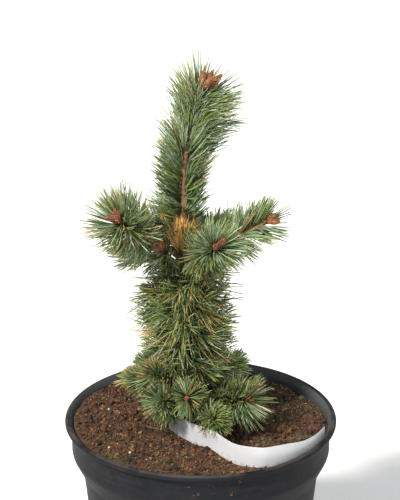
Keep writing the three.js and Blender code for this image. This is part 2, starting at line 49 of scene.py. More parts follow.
POT = {
    "height": 185, "rim": 112, "lip_width": 4.6, "lip_depth": 5.5, "collar": 106.6, "neck": 97.5,
    "shoulder": [(0, 47), (0.4, 40), (0.9, 31), (1, 28)], "foot": 83, "foot_edge": 2.5,
    "wall": 1.7, "floor": 3, "drain_holes": 8, "drain_radius": 5.5, "drain_ring": 66,
}

# The mix: its waves (radians per mm along X and Y, start, height), how far it stands off the pot, and the
# lumps and pits on it (height, width, seed, octaves)
MIX_WAVES = [(0.11, 0.09, 1.3, 0.55), (0.11, -0.09, 1.3, 0.55), (0.06, -0.13, 0.4, 0.65)]
MIX_GAP = 0.2
MIX_LUMPS = [(2, 12, 5, 2), (1.3, 4.6, 9, 2), (0.6, 1.8, 14, 1)]

# The trunk: its axis above the mix, and its radii, taper, flare and root lobes
TRUNK_LINE = [
    (-8, 3, 0), (-11, 3.5, 45), (-13.5, 3, 95), (-15, 2.5, 140),
    (-13, 2, 190), (-11.5, 1, 235), (-4.5, 0, 262), (1.5, -1, 283),
]
TRUNK = {"foot": 5.8, "tip": 1.6, "power": 1.1, "flare": 3.6, "flare_height": 9, "lobes": 5, "lobe": 0.22}

# Each shoot: its height on the trunk, the point it bends by, its tip, the length of its bare bough and of
# its needles in the solids, and the number of its buds there
Shoot = namedtuple("Shoot", "height bend tip bare needles buds")
SHOOTS = {
    "left_bough": Shoot(147, (-50, -9, 163), (-62, -41, 188), 15, 31, 3),
    "front_bough": Shoot(141, (2, -18, 151), (12, -48, 170), 13, 28, 2),
    "right_bough": Shoot(146, (22, 3, 153), (54, 8, 170), 15, 29, 2),
    "short_left_bough": Shoot(136, (-22, -7, 143), (-31, -19, 155), 9.5, 20, 2),
    "lower_left_bough": Shoot(134.5, (-35, 8, 136), (-54, 11, 139), 13, 29, 0),
    "back_right_bough": Shoot(138.5, (2, 28, 139), (16, 46, 151), 13, 30, 0),
    "back_left_bough": Shoot(141, (-30, 28, 143), (-40, 45, 157), 13, 30, 0),
    "low_front_left_bough": Shoot(19, (-22, -12, 24), (-30, -35, 33), 13, 25, 0),
    "low_front_bough": Shoot(28, (-10, -20, 31), (-11, -39, 38), 12.5, 23, 1),
    "low_front_right_bough": Shoot(15, (2, -22, 16), (12, -46, 22), 14, 22, 0),
    "low_right_bough": Shoot(17, (20, -2, 20), (38, -24, 29), 14, 28, 1),
    "left_spur": Shoot(38, (-27, -6, 41), (-36, -15, 48), 11.5, 28, 0),
    "low_left_bough": Shoot(27, (-32, 2, 29), (-51, 1, 36), 13, 28, 0),
    "right_spur": Shoot(40, (12, 6, 41), (30, 8, 48), 12, 29, 0),
    "low_back_left_bough": Shoot(20, (-26, 22, 22), (-40, 38, 32), 13, 27, 0),
    "back_spur": Shoot(35, (-8, 28, 37), (-7, 46, 44), 12.5, 28, 0),
    "low_back_right_bough": Shoot(19, (18, 20, 21), (36, 36, 30), 13.5, 27, 0),
}
WHORL = list(SHOOTS)[:7]
LOW = list(SHOOTS)[7:]
BOUGH_RADII = (2.3, 2.0)
TWIG_RADII = (2.0, 1.3)

# How far a twig's tip rises above its line in the solids, and where some twigs end on their line
TWIG_RISE = {"right_bough": 3.2}
TWIG_END = {
    "low_back_right_bough": 0.5, "right_spur": 0.88, "right_bough": 0.97, "back_right_bough": 0.9,
    "back_left_bough": 0.85,
}

# Needles on the trunk itself: their lowest and highest roots, the room round the trunk that counts as
# theirs, and the cone that parts the column's space from the leader's
SLEEVES = {"column": (45, 131), "leader": (158, 277)}
SLEEVE_ROOM = 9
SLEEVE_ROOM_BELOW = 8
SLEEVE_THICKNESS = 1.7
PARTING_HEIGHT = 146
PARTING_SLOPE = 0.35

# Length of some shoots' needles as a share of the solids' needles, as the photo shows them
NEEDLE_LENGTH = {
    "left_bough": 1.12, "right_bough": 1.12, "lower_left_bough": 0.92, "back_right_bough": 0.84,
    "back_left_bough": 0.9, "low_front_left_bough": 0.86, "low_front_bough": 0.84,
    "low_front_right_bough": 0.8, "low_right_bough": 0.98, "left_spur": 0.72, "low_left_bough": 0.6,
    "right_spur": 0.6, "low_back_left_bough": 0.7, "back_spur": 0.85, "low_back_right_bough": 0.52,
}

# How much shorter the needles grow that hang below a bough's tip, and those that stand up from it
HANG = {"left_bough": 0.5, "front_bough": 0.5, "right_bough": 0.6, "lower_left_bough": 0.55}
STAND = {"right_bough": 0.2}

# The label: its thickness, its heights above the mix at the tail, in its band and at its end, how deep it is
# sunk, the shares of its length where it widens and narrows, and its ripples. It is a little thinner than in
# the solids and widens sooner, and its end is higher
LABEL = {
    "thickness": 0.5, "tail": 7, "band": 17.5, "end": 10, "sunk": 1.5, "steps": 260,
    "widen_from": 0.334, "widen_to": 0.344, "narrow_from": 0.72, "ripple": 0.5, "ripple_turn": 9,
}
LABEL_PLAN = [
    (5, -9), (8, 4), (-2, 17), (-16, 16), (-24, 3), (-25, -14), (-20.5, -26), (-9, -37), (5, -51),
    (19, -67), (33, -80), (47, -85), (62, -80.5), (76, -70), (90, -51), (100.5, -26),
]
GOLDEN_TURN = math.pi * (3 - math.sqrt(5))

# Where the random draws of each kind start
SEEDS = {"loose_bits": 31, "buds": 77, "needles": 5, "fallen_needles": 12}


# Small tools for numbers and points
def unit(v):
    """Vectors of length one along the given ones"""
    return v / np.maximum(np.linalg.norm(v, axis=-1, keepdims=True), 1e-9)


def dots(a, b):
    """Dot products of two stacks of vectors, as a column"""
    return np.sum(a * b, axis=-1, keepdims=True)


def eased(value, low, high):
    """A smooth rise from 0 to 1 between two values"""
    share = np.clip((value - low) / (high - low), 0, 1)
    return share * share * (3 - 2 * share)


def cell_noise(points, seed):
    """Smooth random values from 0 to 1 that change over about one unit of length"""
    cell = np.floor(points).astype(np.int64)
    part = points - cell
    part = part * part * (3 - 2 * part)
    total = np.zeros(len(points))
    for corner in itertools.product((0, 1), repeat=3):
        x, y, z = (cell + np.array(corner)).T
        mixed = (x * 73856093 ^ y * 19349663 ^ z * 83492791 ^ seed * 40503) & 0xFFFFFFFF
        mixed = ((mixed ^ (mixed >> 15)) * 2246822519) & 0xFFFFFFFF
        mixed = ((mixed ^ (mixed >> 13)) * 3266489917) & 0xFFFFFFFF
        value = ((mixed ^ (mixed >> 16)) & 0xFFFF) / 65535
        total += value * np.prod(np.where(corner, part, 1 - part), axis=1)
    return total


def rough(points, cell, seed, octaves=3):
    """Relief from -1 to 1 with finer relief on top of it, for cells of the given width"""
    total, weight = 0, 0
    for k in range(octaves):
        share = 0.5 ** k
        total = total + share * (2 * cell_noise(points / cell * 2 ** k, seed + k) - 1)
        weight += share
    return total / weight


def evenly(points, steps):
    """The same line with its points evenly spaced, and its length"""
    length = np.concatenate([[0], np.cumsum(np.linalg.norm(np.diff(points, axis=0), axis=1))])
    wanted = np.linspace(0, length[-1], steps + 1)
    return np.stack([np.interp(wanted, length, points[:, k]) for k in range(3)], axis=1), length[-1]


def smooth_line(control, steps):
    """A centripetal curve through the control points"""
    control = np.array(control, float)
    padded = np.vstack([2 * control[0] - control[1], control, 2 * control[-1] - control[-2]])
    s = np.linspace(0, 1, 60, endpoint=False)[:, None]
    found = []
    for p0, p1, p2, p3 in zip(padded, padded[1:], padded[2:], padded[3:]):
        a, b, c = [max(np.sum((q - p) ** 2) ** 0.25, 1e-4) for p, q in ((p0, p1), (p1, p2), (p2, p3))]
        start = ((p1 - p0) / a - (p2 - p0) / (a + b) + (p2 - p1) / b) * b
        end = ((p2 - p1) / b - (p3 - p1) / (b + c) + (p3 - p2) / c) * b
        blend = p1 * (2 * s**3 - 3 * s**2 + 1) + p2 * (3 * s**2 - 2 * s**3)
        found.append(blend + start * (s**3 - 2 * s**2 + s) + end * (s**3 - s**2))
    return evenly(np.vstack([*found, control[-1:]]), steps)[0]


def frames_along(points):
    """Direction and two level sides at each point of a line, without twist"""
    along = unit(np.gradient(points, axis=0))
    up = np.array([0, 1, 0]) if abs(along[0][2]) > 0.9 else np.array([0, 0, 1])
    side = unit(np.cross(along[0], up))
    sides = []
    for direction in along:
        side = unit(side - np.dot(side, direction) * direction)
        sides.append(side)
    sides = np.array(sides)
    return along, sides, np.cross(along, sides)


def line_gap(points, radii, p):
    """How far points stand from the surface of a round limb, and the nearest points of its axis"""
    a, ab = points[:-1], np.diff(points, axis=0)
    t = np.clip(np.einsum("nmk,mk->nm", p[:, None] - a, ab) / np.sum(ab * ab, axis=1), 0, 1)
    foot = a + t[..., None] * ab
    gap = np.linalg.norm(p[:, None] - foot, axis=2) - (radii[:-1] + t * np.diff(radii))
    best = np.argmin(gap, axis=1)
    rows = np.arange(len(p))
    return gap[rows, best], foot[rows, best]


# Meshes, gathered from loose shapes of one kind
class Heap:
    """Loose shapes that become one piece"""
    def __init__(self):
        self.vertices, self.faces, self.numbers, self.count = [], [], [], 0

    def add(self, vertices, faces, numbers=0):
        """Faces is a list of arrays of corners. Numbers gives their finish, one for all or a list like it"""
        self.vertices.append(np.asarray(vertices, float))
        for k, face in enumerate(faces):
            face = np.asarray(face)
            given = numbers[k] if isinstance(numbers, list) else numbers
            self.faces.append(face + self.count)
            self.numbers.append(np.broadcast_to(given, len(face)))
        self.count += len(vertices)

    def piece(self, name, finishes, slot, nodes, smooth=True):
        """The heap as one mesh, which stands for the given nodes of the solids"""
        vertices = np.vstack(self.vertices) * METRES
        corners = np.concatenate([f.ravel() for f in self.faces])
        sizes = np.concatenate([np.full(len(f), f.shape[1]) for f in self.faces])
        starts = np.concatenate([[0], np.cumsum(sizes)[:-1]])
        mesh = bpy.data.meshes.new(name)
        mesh.vertices.add(len(vertices))
        mesh.vertices.foreach_set("co", vertices.astype(np.float32).ravel())
        mesh.loops.add(len(corners))
        mesh.loops.foreach_set("vertex_index", corners.astype(np.int32))
        mesh.polygons.add(len(sizes))
        mesh.polygons.foreach_set("loop_start", starts.astype(np.int32))
        for material in finishes:
            mesh.materials.append(material)
        mesh.polygons.foreach_set("material_index", np.concatenate(self.numbers).astype(np.int32))
        mesh.update(calc_edges=True)
        mesh.validate()
        if smooth:
            mesh.shade_smooth()
        made = bpy.data.objects.new(name, mesh)
        bpy.context.scene.collection.objects.link(made)
        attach(made, "root")
        if nodes:
            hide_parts(*nodes)
        return made


def ring_faces(rings, sides, closed_ends=True):
    """Quads between rings of corners, with a fan to a last corner at each end"""
    k = np.arange(sides)
    following = (k + 1) % sides
    low = (np.arange(rings - 1) * sides)[:, None]
    quads = np.stack([low + k, low + following, low + following + sides, low + k + sides], axis=-1)
    quads = quads.reshape(-1, 4)
    if not closed_ends:
        return [quads]
    top = (rings - 1) * sides
    first, last = rings * sides, rings * sides + 1
    fans = [np.stack([np.full(sides, first), following, k], axis=1)]
    fans.append(np.stack([np.full(sides, last), top + k, top + following], axis=1))
    return [quads, np.vstack(fans)]


def circle(sides):
    """Turns of the corners round a ring"""
    return 2 * math.pi * np.arange(sides) / sides


def tube(points, radii, sides):
    """A closed limb along a line, with radii for each ring or for each ring and side"""
    _, side, other = frames_along(points)
    turn = circle(sides)
    radii = np.broadcast_to(np.asarray(radii, float).reshape(len(points), -1), (len(points), sides))
    flat = side[:, None] * np.cos(turn)[:, None] + other[:, None] * np.sin(turn)[:, None]
    rings = points[:, None] + flat * radii[..., None]
    vertices = np.vstack([rings.reshape(-1, 3), points[0], points[-1]])
    return vertices, ring_faces(len(points), sides)


# Finishes
def shade(code):
    """A colour written as in a paint list, in Blender's linear values"""
    parts = [int(code[k:k + 2], 16) / 255 for k in (0, 2, 4)]
    return [p / 12.92 if p <= 0.04045 else ((p + 0.055) / 1.055) ** 2.4 for p in parts] + [1]


def place(tree, kind, inputs=None, **settings):
    """A node with its settings, and its inputs given as values or as the sockets that feed them"""
    made = tree.nodes.new(kind)
    for name, value in settings.items():
        setattr(made, name, value)
    for key, value in (inputs or {}).items():
        if isinstance(value, bpy.types.NodeSocket):
            tree.links.new(value, made.inputs[key])
        else:
            made.inputs[key].default_value = value
    return made


def mixed(tree, factor, a, b):
    """Colour a passing into colour b"""
    return place(tree, "ShaderNodeMix", {0: factor, 6: a, 7: b}, data_type="RGBA").outputs[2]


def worked(tree, operation, a, b=0.0, clamp=False):
    """The result of a sum on one or two values"""
    return place(tree, "ShaderNodeMath", {0: a, 1: b}, operation=operation, use_clamp=clamp).outputs[0]


def ramped(tree, value, low, high):
    """A mask that rises from 0 to 1 between two values"""
    made = place(tree, "ShaderNodeMapRange", {"Value": value, "From Min": low, "From Max": high},
                 interpolation_type="SMOOTHSTEP")
    return made.outputs[0]


def effect(name, inputs, outputs):
    """An empty shader group with its sockets"""
    tree = bpy.data.node_groups.new(name, "ShaderNodeTree")
    for label, kind, value in inputs:
        made = tree.interface.new_socket(name=label, in_out="INPUT", socket_type=kind)
        made.default_value = value
    for label, kind in outputs:
        tree.interface.new_socket(name=label, in_out="OUTPUT", socket_type=kind)
    return tree, tree.nodes.new("NodeGroupInput").outputs, tree.nodes.new("NodeGroupOutput").inputs


def build_mottle():
    """Cloudy variation with fine grain in it, as a mask, and its relief"""
    tree, given, out = effect(
        "mottle",
        [("Scale", "NodeSocketFloat", 60.0), ("Stretch", "NodeSocketVector", (1, 1, 1)),
         ("Low", "NodeSocketFloat", 0.3), ("High", "NodeSocketFloat", 0.7)],
        [("Mask", "NodeSocketFloat"), ("Relief", "NodeSocketFloat")])
    where = place(tree, "ShaderNodeTexCoord").outputs["Object"]
    stretched = place(tree, "ShaderNodeVectorMath", {0: where, 1: given["Stretch"]}, operation="MULTIPLY")
    cloud = place(tree, "ShaderNodeTexNoise", {"Vector": stretched.outputs[0], "Scale": given["Scale"],
                                               "Detail": 5.0, "Roughness": 0.6})
    spread = place(tree, "ShaderNodeMapRange", {"Value": cloud.outputs[0], "From Min": given["Low"],
                                                "From Max": given["High"]})
    tree.links.new(spread.outputs[0], out["Mask"])
    tree.links.new(cloud.outputs[0], out["Relief"])
    return tree


def build_dusting():
    """Dry soil dust that lies on a colour in patches"""
    tree, given, out = effect(
        "dusting",
        [("Color", "NodeSocketColor", (0, 0, 0, 1)), ("Dust", "NodeSocketColor", (0.2, 0.15, 0.1, 1)),
         ("Amount", "NodeSocketFloat", 0.5), ("Scale", "NodeSocketFloat", 90.0)],
        [("Color", "NodeSocketColor"), ("Mask", "NodeSocketFloat")])
    where = place(tree, "ShaderNodeTexCoord").outputs["Object"]
    patch = place(tree, "ShaderNodeTexNoise", {"Vector": where, "Scale": given["Scale"], "Detail": 6.0,
                                               "Roughness": 0.7})
    mask = worked(tree, "MULTIPLY", ramped(tree, patch.outputs[0], 0.48, 0.66), given["Amount"], True)
    tree.links.new(mixed(tree, mask, given["Color"], given["Dust"]), out["Color"])
    tree.links.new(mask, out["Mask"])
    return tree


MOTTLE = build_mottle()
DUSTING = build_dusting()


def base_finish(name, color, roughness, **sockets):
    """A material with a plain base colour, which the patterns below are then linked over"""
    made = bpy.data.materials.new(name)
    made.use_nodes = True
    shader = made.node_tree.nodes["Principled BSDF"]
    shader.inputs["Base Color"].default_value = color
    shader.inputs["Roughness"].default_value = roughness
    for key, value in sockets.items():
        shader.inputs[key.replace("_", " ")].default_value = value
    made.diffuse_color = color
    return made, made.node_tree, shader


def grouped(tree, group, **inputs):
    """One of the effects above placed in a material"""
    made = tree.nodes.new("ShaderNodeGroup")
    made.node_tree = group
    for key, value in inputs.items():
        if isinstance(value, bpy.types.NodeSocket):
            tree.links.new(value, made.inputs[key])
        else:
            made.inputs[key].default_value = value
    return made.outputs


def mottle_in(tree, scale, stretch=(1, 1, 1), low=0.3, high=0.7):
    return grouped(tree, MOTTLE, Scale=scale, Stretch=stretch, Low=low, High=high)


def bumped(tree, shader, height, distance):
    """Relief on a material, as deep as distance in metres"""
    made = place(tree, "ShaderNodeBump", {"Height": height, "Distance": distance})
    tree.links.new(made.outputs[0], shader.inputs["Normal"])


def place_in(tree):
    """The three coordinates of a place on the piece, in metres"""
    where = place(tree, "ShaderNodeTexCoord").outputs["Object"]
    return place(tree, "ShaderNodeSeparateXYZ", {0: where}).outputs


# Where finishes change, in metres. The pot's inner wall and the inner slope of its lip are painted a lighter
# grey that stands in for light falling on them (distance from its axis and height of each), its lip is
# lighter on top for scuff marks and a painted highlight, moss grows on the right of the mix, and the label
# is dusty low down
PAINTED_LIGHT_INSIDE = [((0.1062, 0.1056), (0.157, 0.159)), ((0.108, 0.1072), (0.1797, 0.1802))]
SCUFF_AND_HIGHLIGHT_ABOVE = (0.183, 0.1846)
MOSSY_BEYOND = (0.045, 0.08)
DUSTY_BELOW = (0.1785, 0.184)


def pot_plastic():
    """Dull black plastic with faint upright streaks and dust, painted lighter inside for light on its wall,
    and scuff marks and a painted highlight on its lip
    """
    made, tree, shader = base_finish("black_moulded_plastic", shade("1b1d20"), 0.55, Specular_IOR_Level=0.07)
    x, y, z = place_in(tree)
    squares = [worked(tree, "MULTIPLY", value, value) for value in (x, y)]
    away = worked(tree, "SQRT", worked(tree, "ADD", *squares))
    # Masks for painted light: the pot's inner wall and the inner slope of its lip
    wall, slope = [worked(tree, "MULTIPLY", ramped(tree, away, *reach), ramped(tree, z, *rise))
                   for reach, rise in PAINTED_LIGHT_INSIDE]
    inside = worked(tree, "ADD", wall, slope, True)
    cloud = mottle_in(tree, 26, low=0.35, high=0.7)
    streak = mottle_in(tree, 30, stretch=(1, 1, 9), low=0.5, high=0.78)
    color = mixed(tree, cloud["Mask"], shade("14161a"), shade("1e2024"))
    color = mixed(tree, worked(tree, "MULTIPLY", streak["Mask"], 0.4), color, shade("303031"))
    # Painted light: the inside of the pot turns a lighter grey, as if light fell on it
    color = mixed(tree, inside, color, shade("474a4c"))
    # The top of the lip is lighter in patches: scuff marks and a painted highlight together
    scuffs_and_highlight = ramped(tree, cloud["Relief"], 0.34, 0.58)
    lip = worked(tree, "MULTIPLY", ramped(tree, z, *SCUFF_AND_HIGHLIGHT_ABOVE), scuffs_and_highlight)
    color = mixed(tree, worked(tree, "MULTIPLY", lip, 0.6), color, shade("4d4945"))
    dusty = grouped(tree, DUSTING, Color=color, Dust=shade("3a2c20"), Amount=0.25, Scale=150.0)
    tree.links.new(dusty["Color"], shader.inputs["Base Color"])
    dull = place(tree, "ShaderNodeMapRange", {"Value": cloud["Relief"], "To Min": 0.4, "To Max": 0.7})
    tree.links.new(dull.outputs[0], shader.inputs["Roughness"])
    grain = mottle_in(tree, 1400)
    bumped(tree, shader, grain["Relief"], 0.00012)
    return made


def peat():
    """Moist brown mix with fine crumbs, and moss on its right side"""
    made, tree, shader = base_finish("moist_peat", shade("4a3526"), 0.9)
    x = place_in(tree)["X"]
    cloud = mottle_in(tree, 45, low=0.32, high=0.68)
    crumb = mottle_in(tree, 420, low=0.35, high=0.66)
    color = mixed(tree, cloud["Mask"], shade("22150b"), shade("3e2815"))
    color = mixed(tree, worked(tree, "MULTIPLY", crumb["Mask"], 0.5), color, shade("66462a"))
    patches = ramped(tree, cloud["Relief"], 0.46, 0.6)
    mossy = worked(tree, "MULTIPLY", ramped(tree, x, *MOSSY_BEYOND), patches)
    color = mixed(tree, worked(tree, "MULTIPLY", mossy, 0.6), color, shade("44412a"))
    tree.links.new(color, shader.inputs["Base Color"])
    bumped(tree, shader, crumb["Relief"], 0.0012)
    return made


def label_plastic():
    """Thin white plastic that lets some light through, with soil dust near the mix"""
    made, tree, shader = base_finish("white_label_plastic", shade("cbcbca"), 0.32, Subsurface_Weight=0.85,
                                     Subsurface_Radius=(1, 1, 1), Subsurface_Scale=0.002)
    z = place_in(tree)["Z"]
    cloud = mottle_in(tree, 40, low=0.3, high=0.8)
    color = mixed(tree, cloud["Mask"], shade("c7c8cc"), shade("bbbcc0"))
    near_soil = worked(tree, "SUBTRACT", 1.0, ramped(tree, z, *DUSTY_BELOW))
    dusty = grouped(tree, DUSTING, Color=color, Dust=shade("8a735e"),
                    Amount=worked(tree, "MULTIPLY", near_soil, 0.8), Scale=320.0)
    tree.links.new(dusty["Color"], shader.inputs["Base Color"])
    dull = place(tree, "ShaderNodeMapRange", {"Value": dusty["Mask"], "To Min": 0.3, "To Max": 0.8})
    tree.links.new(dull.outputs[0], shader.inputs["Roughness"])
    ripple = mottle_in(tree, 60)
    bumped(tree, shader, ripple["Relief"], 0.0006)
    return made


def bark(name, dark, middle, light):
    """Flaky bark, whose plates and grain run along an upright limb"""
    made, tree, shader = base_finish(name, shade(middle), 0.85)
    plates = mottle_in(tree, 190, stretch=(1, 1, 0.4), low=0.36, high=0.62)
    grain = mottle_in(tree, 900, stretch=(1, 1, 0.35), low=0.35, high=0.66)
    color = mixed(tree, plates["Mask"], shade(dark), shade(middle))
    color = mixed(tree, worked(tree, "MULTIPLY", grain["Mask"], 0.6), color, shade(light))
    tree.links.new(color, shader.inputs["Base Color"])
    both = worked(tree, "ADD", plates["Relief"], worked(tree, "MULTIPLY", grain["Relief"], 0.5))
    bumped(tree, shader, both, 0.0011)
    return made


def grainy(name, code, roughness, scale, relief, dark=0.4):
    """A colour with darker grain and a little relief, for small loose things"""
    light = shade(code)
    made, tree, shader = base_finish(name, light, roughness)
    grain = mottle_in(tree, scale, low=0.36, high=0.62)
    dim = [part * dark for part in light[:3]] + [1]
    tree.links.new(mixed(tree, grain["Mask"], dim, light), shader.inputs["Base Color"])
    bumped(tree, shader, grain["Relief"], relief)
    return made


def plain(name, code, roughness):
    return base_finish(name, shade(code), roughness)[0]


# Needle colours, dealt out by the bundle: the outer face, and the inner faces with their pale bloom
NEEDLE_TINTS = {
    "deep": ("2b3d18", "445932"),
    "mid": ("536b34", "798f63"),
    "grey": ("71845a", "9bac8c"),
    "pale": ("92a26e", "bcc7a6"),
    "bluish": ("63776a", "95a698"),
    "spring": ("7d903c", "a1ab63"),
    "olive": ("6f6a2d", "8e8950"),
    "golden": ("b8934f", "d0b074"),
    "amber": ("d39a48", "e6bd7a"),
    "tan": ("9a8154", "b7a37b"),
    "brown": ("6a4a29", "856748"),
}
TINT_NAMES = list(NEEDLE_TINTS)
NEEDLE_ROUGHNESS = {"outer": 0.42, "inner": 0.55}
NEEDLE_FINISHES = [
    plain(f"needle_{name}_{face}", code, NEEDLE_ROUGHNESS[face])
    for name, codes in NEEDLE_TINTS.items() for face, code in zip(NEEDLE_ROUGHNESS, codes)
]


# Pot
def turned(profile, sides):
    """A body turned about the pot's axis from its profile, which starts and ends on the axis"""
    turn = circle(sides)
    rims = np.array(profile[1:-1], float)
    x = rims[:, :1] * np.cos(turn)
    y = rims[:, :1] * np.sin(turn)
    z = np.broadcast_to(rims[:, 1:], x.shape)
    ends = [[0, 0, profile[0][1]], [0, 0, profile[-1][1]]]
    return np.vstack([np.stack([x, y, z], axis=-1).reshape(-1, 3), ends]), ring_faces(len(rims), sides)


def rounded(profile, cut, steps=4):
    """The profile with its corners rounded off"""
    points = np.array(profile, float)
    out = [points[0]]
    for before, corner, after in zip(points, points[1:], points[2:]):
        reach = min(cut, np.linalg.norm(before - corner) / 2.1, np.linalg.norm(after - corner) / 2.1)
        a = corner + unit(before - corner) * reach
        b = corner + unit(after - corner) * reach
        for s in np.linspace(0, 1, steps):
            out.append((1 - s) ** 2 * a + 2 * s * (1 - s) * corner + s ** 2 * b)
    return [*out, points[-1]]


def pot_wall(inset, low):
    """The pot's side from some height up to its collar, at some distance inside its outer face"""
    shoulder = [(POT["neck"] + share * (POT["collar"] - POT["neck"]) - inset, POT["height"] - depth)
                for share, depth in POT["shoulder"]]
    return [(POT["foot"] - inset, low), *shoulder]


def make_pot():
    rim, top, edge = POT["rim"], POT["height"], POT["foot_edge"]
    under_lip = top - POT["lip_depth"]
    outside = [(0, 0), (POT["foot"] - edge, 0), *pot_wall(0, edge), (POT["collar"], under_lip)]
    lip = [
        (rim - 0.45, under_lip + 0.9), (rim, top - 2.7), (rim - 0.9, top - 0.9),
        (rim - POT["lip_width"] / 2, top), (rim - POT["lip_width"], top - 0.9),
    ]
    inside = [(POT["collar"] - POT["wall"], under_lip), *pot_wall(POT["wall"], POT["floor"])[::-1]]
    heap = Heap()
    heap.add(*turned(rounded([*outside, *lip, *inside, (0, POT["floor"])], 1.1), 192))
    pot = heap.piece("pot_shell", [pot_plastic()], "pot_plastic", ["pot"])
    drill_holes(pot)
    pot.data.set_sharp_from_angle(angle=math.radians(38))


def drill_holes(pot):
    """Drain holes, cut by round drills that are then taken away"""
    drills = Heap()
    for k in range(POT["drain_holes"]):
        turn = 2 * math.pi * (k + 0.5) / POT["drain_holes"]
        middle = POT["drain_ring"] * np.array([math.cos(turn), math.sin(turn), 0])
        line = middle + np.array([[0, 0, -5.0], [0, 0, 8.0]])
        drills.add(*tube(line, [POT["drain_radius"]] * 2, 28))
    cutter = drills.piece("drain_cutter", [], "pot_plastic", [], smooth=False)
    cut = pot.modifiers.new("drain_holes", "BOOLEAN")
    cut.object = cutter
    cut.solver = "EXACT"
    with bpy.context.temp_override(object=pot, active_object=pot):
        bpy.ops.object.modifier_apply(modifier=cut.name)
    bpy.data.objects.remove(cutter)


# Potting mix
def mix_height(x, y):
    """The gentle surface of the solids' mix, which falls to the back right and is level at the trunk"""
    waves = sum(height * np.sin(a * x + b * y + start) for a, b, start, height in MIX_WAVES)
    fall = (3 * x + 2.2 * y) / POT["rim"]
    away = np.hypot(x - TRUNK_LINE[0][0], y - TRUNK_LINE[0][1])
    return SOIL_LEVEL + eased(away, 24, 46) * (waves - fall - 1)


def level(x, y):
    """Points at height nought"""
    return np.stack([x, y, np.zeros_like(x)], axis=-1)


def mix_relief(x, y):
    """The open surface with lumps and pits, which are lower at the pot's wall and along the label"""
    flat = level(x, y)
    lumps = sum(height * rough(flat, width, seed, octaves) for height, width, seed, octaves in MIX_LUMPS)
    inside = 1 - eased(np.hypot(x, y), 96, 104)
    strip = label_plan[::6] * np.array([1, 1, 0])
    gap, _ = line_gap(strip, np.zeros(len(strip)), flat.reshape(-1, 3))
    calm = 0.12 + 0.88 * eased(gap, 3, 15).reshape(x.shape)
    return mix_height(x, y) + lumps * (0.6 + 0.4 * inside) * calm


def make_mix():
    """A body that fills the pot, from rings over its open surface on down the pot's wall"""
    sides, rings = 260, 96
    inset, low = POT["wall"] + MIX_GAP, POT["floor"] + MIX_GAP
    turn = circle(sides)
    radius = (POT["collar"] - inset) * (np.arange(1, rings + 1) / rings)[:, None]
    x, y = radius * np.cos(turn), radius * np.sin(turn)
    top = np.stack([x, y, mix_relief(x.ravel(), y.ravel()).reshape(x.shape)], axis=-1)
    skirt = [np.stack([r * np.cos(turn), r * np.sin(turn), np.full(sides, z)], axis=-1)
             for r, z in pot_wall(inset, low)[::-1]]
    shells = np.concatenate([top, np.array(skirt)])
    middle = [[0, 0, float(mix_relief(np.zeros(1), np.zeros(1))[0])], [0, 0, low]]
    vertices = np.vstack([shells.reshape(-1, 3), middle])
    faces = [face[:, ::-1] for face in ring_faces(len(shells), sides)]
    heap = Heap()
    heap.add(vertices, faces)
    heap.piece("potting_soil", [peat()], "potting_mix", ["potting_mix"])


def scatter(random, count, nearest=0, furthest=103):
    """Places spread evenly over the mix, between two distances from the pot's axis"""
    radius = np.sqrt(random.uniform(nearest ** 2, furthest ** 2, count))
    turn = random.uniform(0, 2 * math.pi, count)
    return radius * np.cos(turn), radius * np.sin(turn)


# A crumb before it is made rough: twelve corners and twenty faces
CRUMB_CORNERS = unit(np.array([
    (-1, 1.618, 0), (1, 1.618, 0), (-1, -1.618, 0), (1, -1.618, 0), (0, -1, 1.618), (0, 1, 1.618),
    (0, -1, -1.618), (0, 1, -1.618), (1.618, 0, -1), (1.618, 0, 1), (-1.618, 0, -1), (-1.618, 0, 1),
]))
CRUMB_FACES = np.array([
    (0, 11, 5), (0, 5, 1), (0, 1, 7), (0, 7, 10), (0, 10, 11), (1, 5, 9), (5, 11, 4), (11, 10, 2),
    (10, 7, 6), (7, 1, 8), (3, 9, 4), (3, 4, 2), (3, 2, 6), (3, 6, 8), (3, 8, 9), (4, 9, 5),
    (2, 4, 11), (6, 2, 10), (8, 6, 7), (9, 8, 1),
])


def turned_at_random(random, shapes):
    """Each shape of a stack turned its own way"""
    q = unit(random.normal(size=(len(shapes), 4)))
    w, x, y, z = q.T
    turn = np.array([
        [1 - 2 * (y * y + z * z), 2 * (x * y - w * z), 2 * (x * z + w * y)],
        [2 * (x * y + w * z), 1 - 2 * (x * x + z * z), 2 * (y * z - w * x)],
        [2 * (x * z - w * y), 2 * (y * z + w * x), 1 - 2 * (x * x + y * y)],
    ]).transpose(2, 0, 1)
    return np.einsum("nij,nkj->nki", turn, shapes)


def crumbs(heap, random, centres, size, numbers, long=1.0, flat=1.0):
    """Rough lumps at the given places, each with the number of its finish"""
    count = len(centres)
    shapes = CRUMB_CORNERS * random.uniform(0.55, 1.2, (count, len(CRUMB_CORNERS), 1))
    shapes = turned_at_random(random, shapes * np.array([long, 1, flat])) * (size / 2)[:, None, None]
    faces = (CRUMB_FACES + (np.arange(count) * len(CRUMB_CORNERS))[:, None, None]).reshape(-1, 3)
    heap.add((shapes + centres[:, None]).reshape(-1, 3), [faces], [np.repeat(numbers, len(CRUMB_FACES))])


def on_mix(x, y, height):
    """Points at some height above the open surface"""
    return np.stack([x, y, mix_relief(x, y) + height], axis=-1)


# How many loose bits are strewn, and their colours. The crumbs' run from dark to light, and the last two
# are mossy
STREWN = {"crumbs": 8400, "chips": 300, "grit": 560, "fibres": 900, "fallen_needles": 14}
CRUMB_CODES = ("26170d", "3e2514", "57331c", "7b4f2c", "886c44", "3f401d", "5b5a2c")
CHIP_CODES = ("57351f", "75502f", "40291b")
GRIT_CODES = {"white": "bfb6a5", "straw": "a5854f", "mossy": "868652"}
FIBRE_CODES = ("684b31", "8e6f4e", "3a2619")
PRILL_PLACES = np.array([(-76.7, 17.9), (-73.2, -54), (-55.9, -68), (62, 62)])
SMEAR_PLACES = [(8, 176), (-9.2, 173.5), (-2.2, 167.5), (-5.3, 166), (24.4, 166), (30.6, 176.5)]


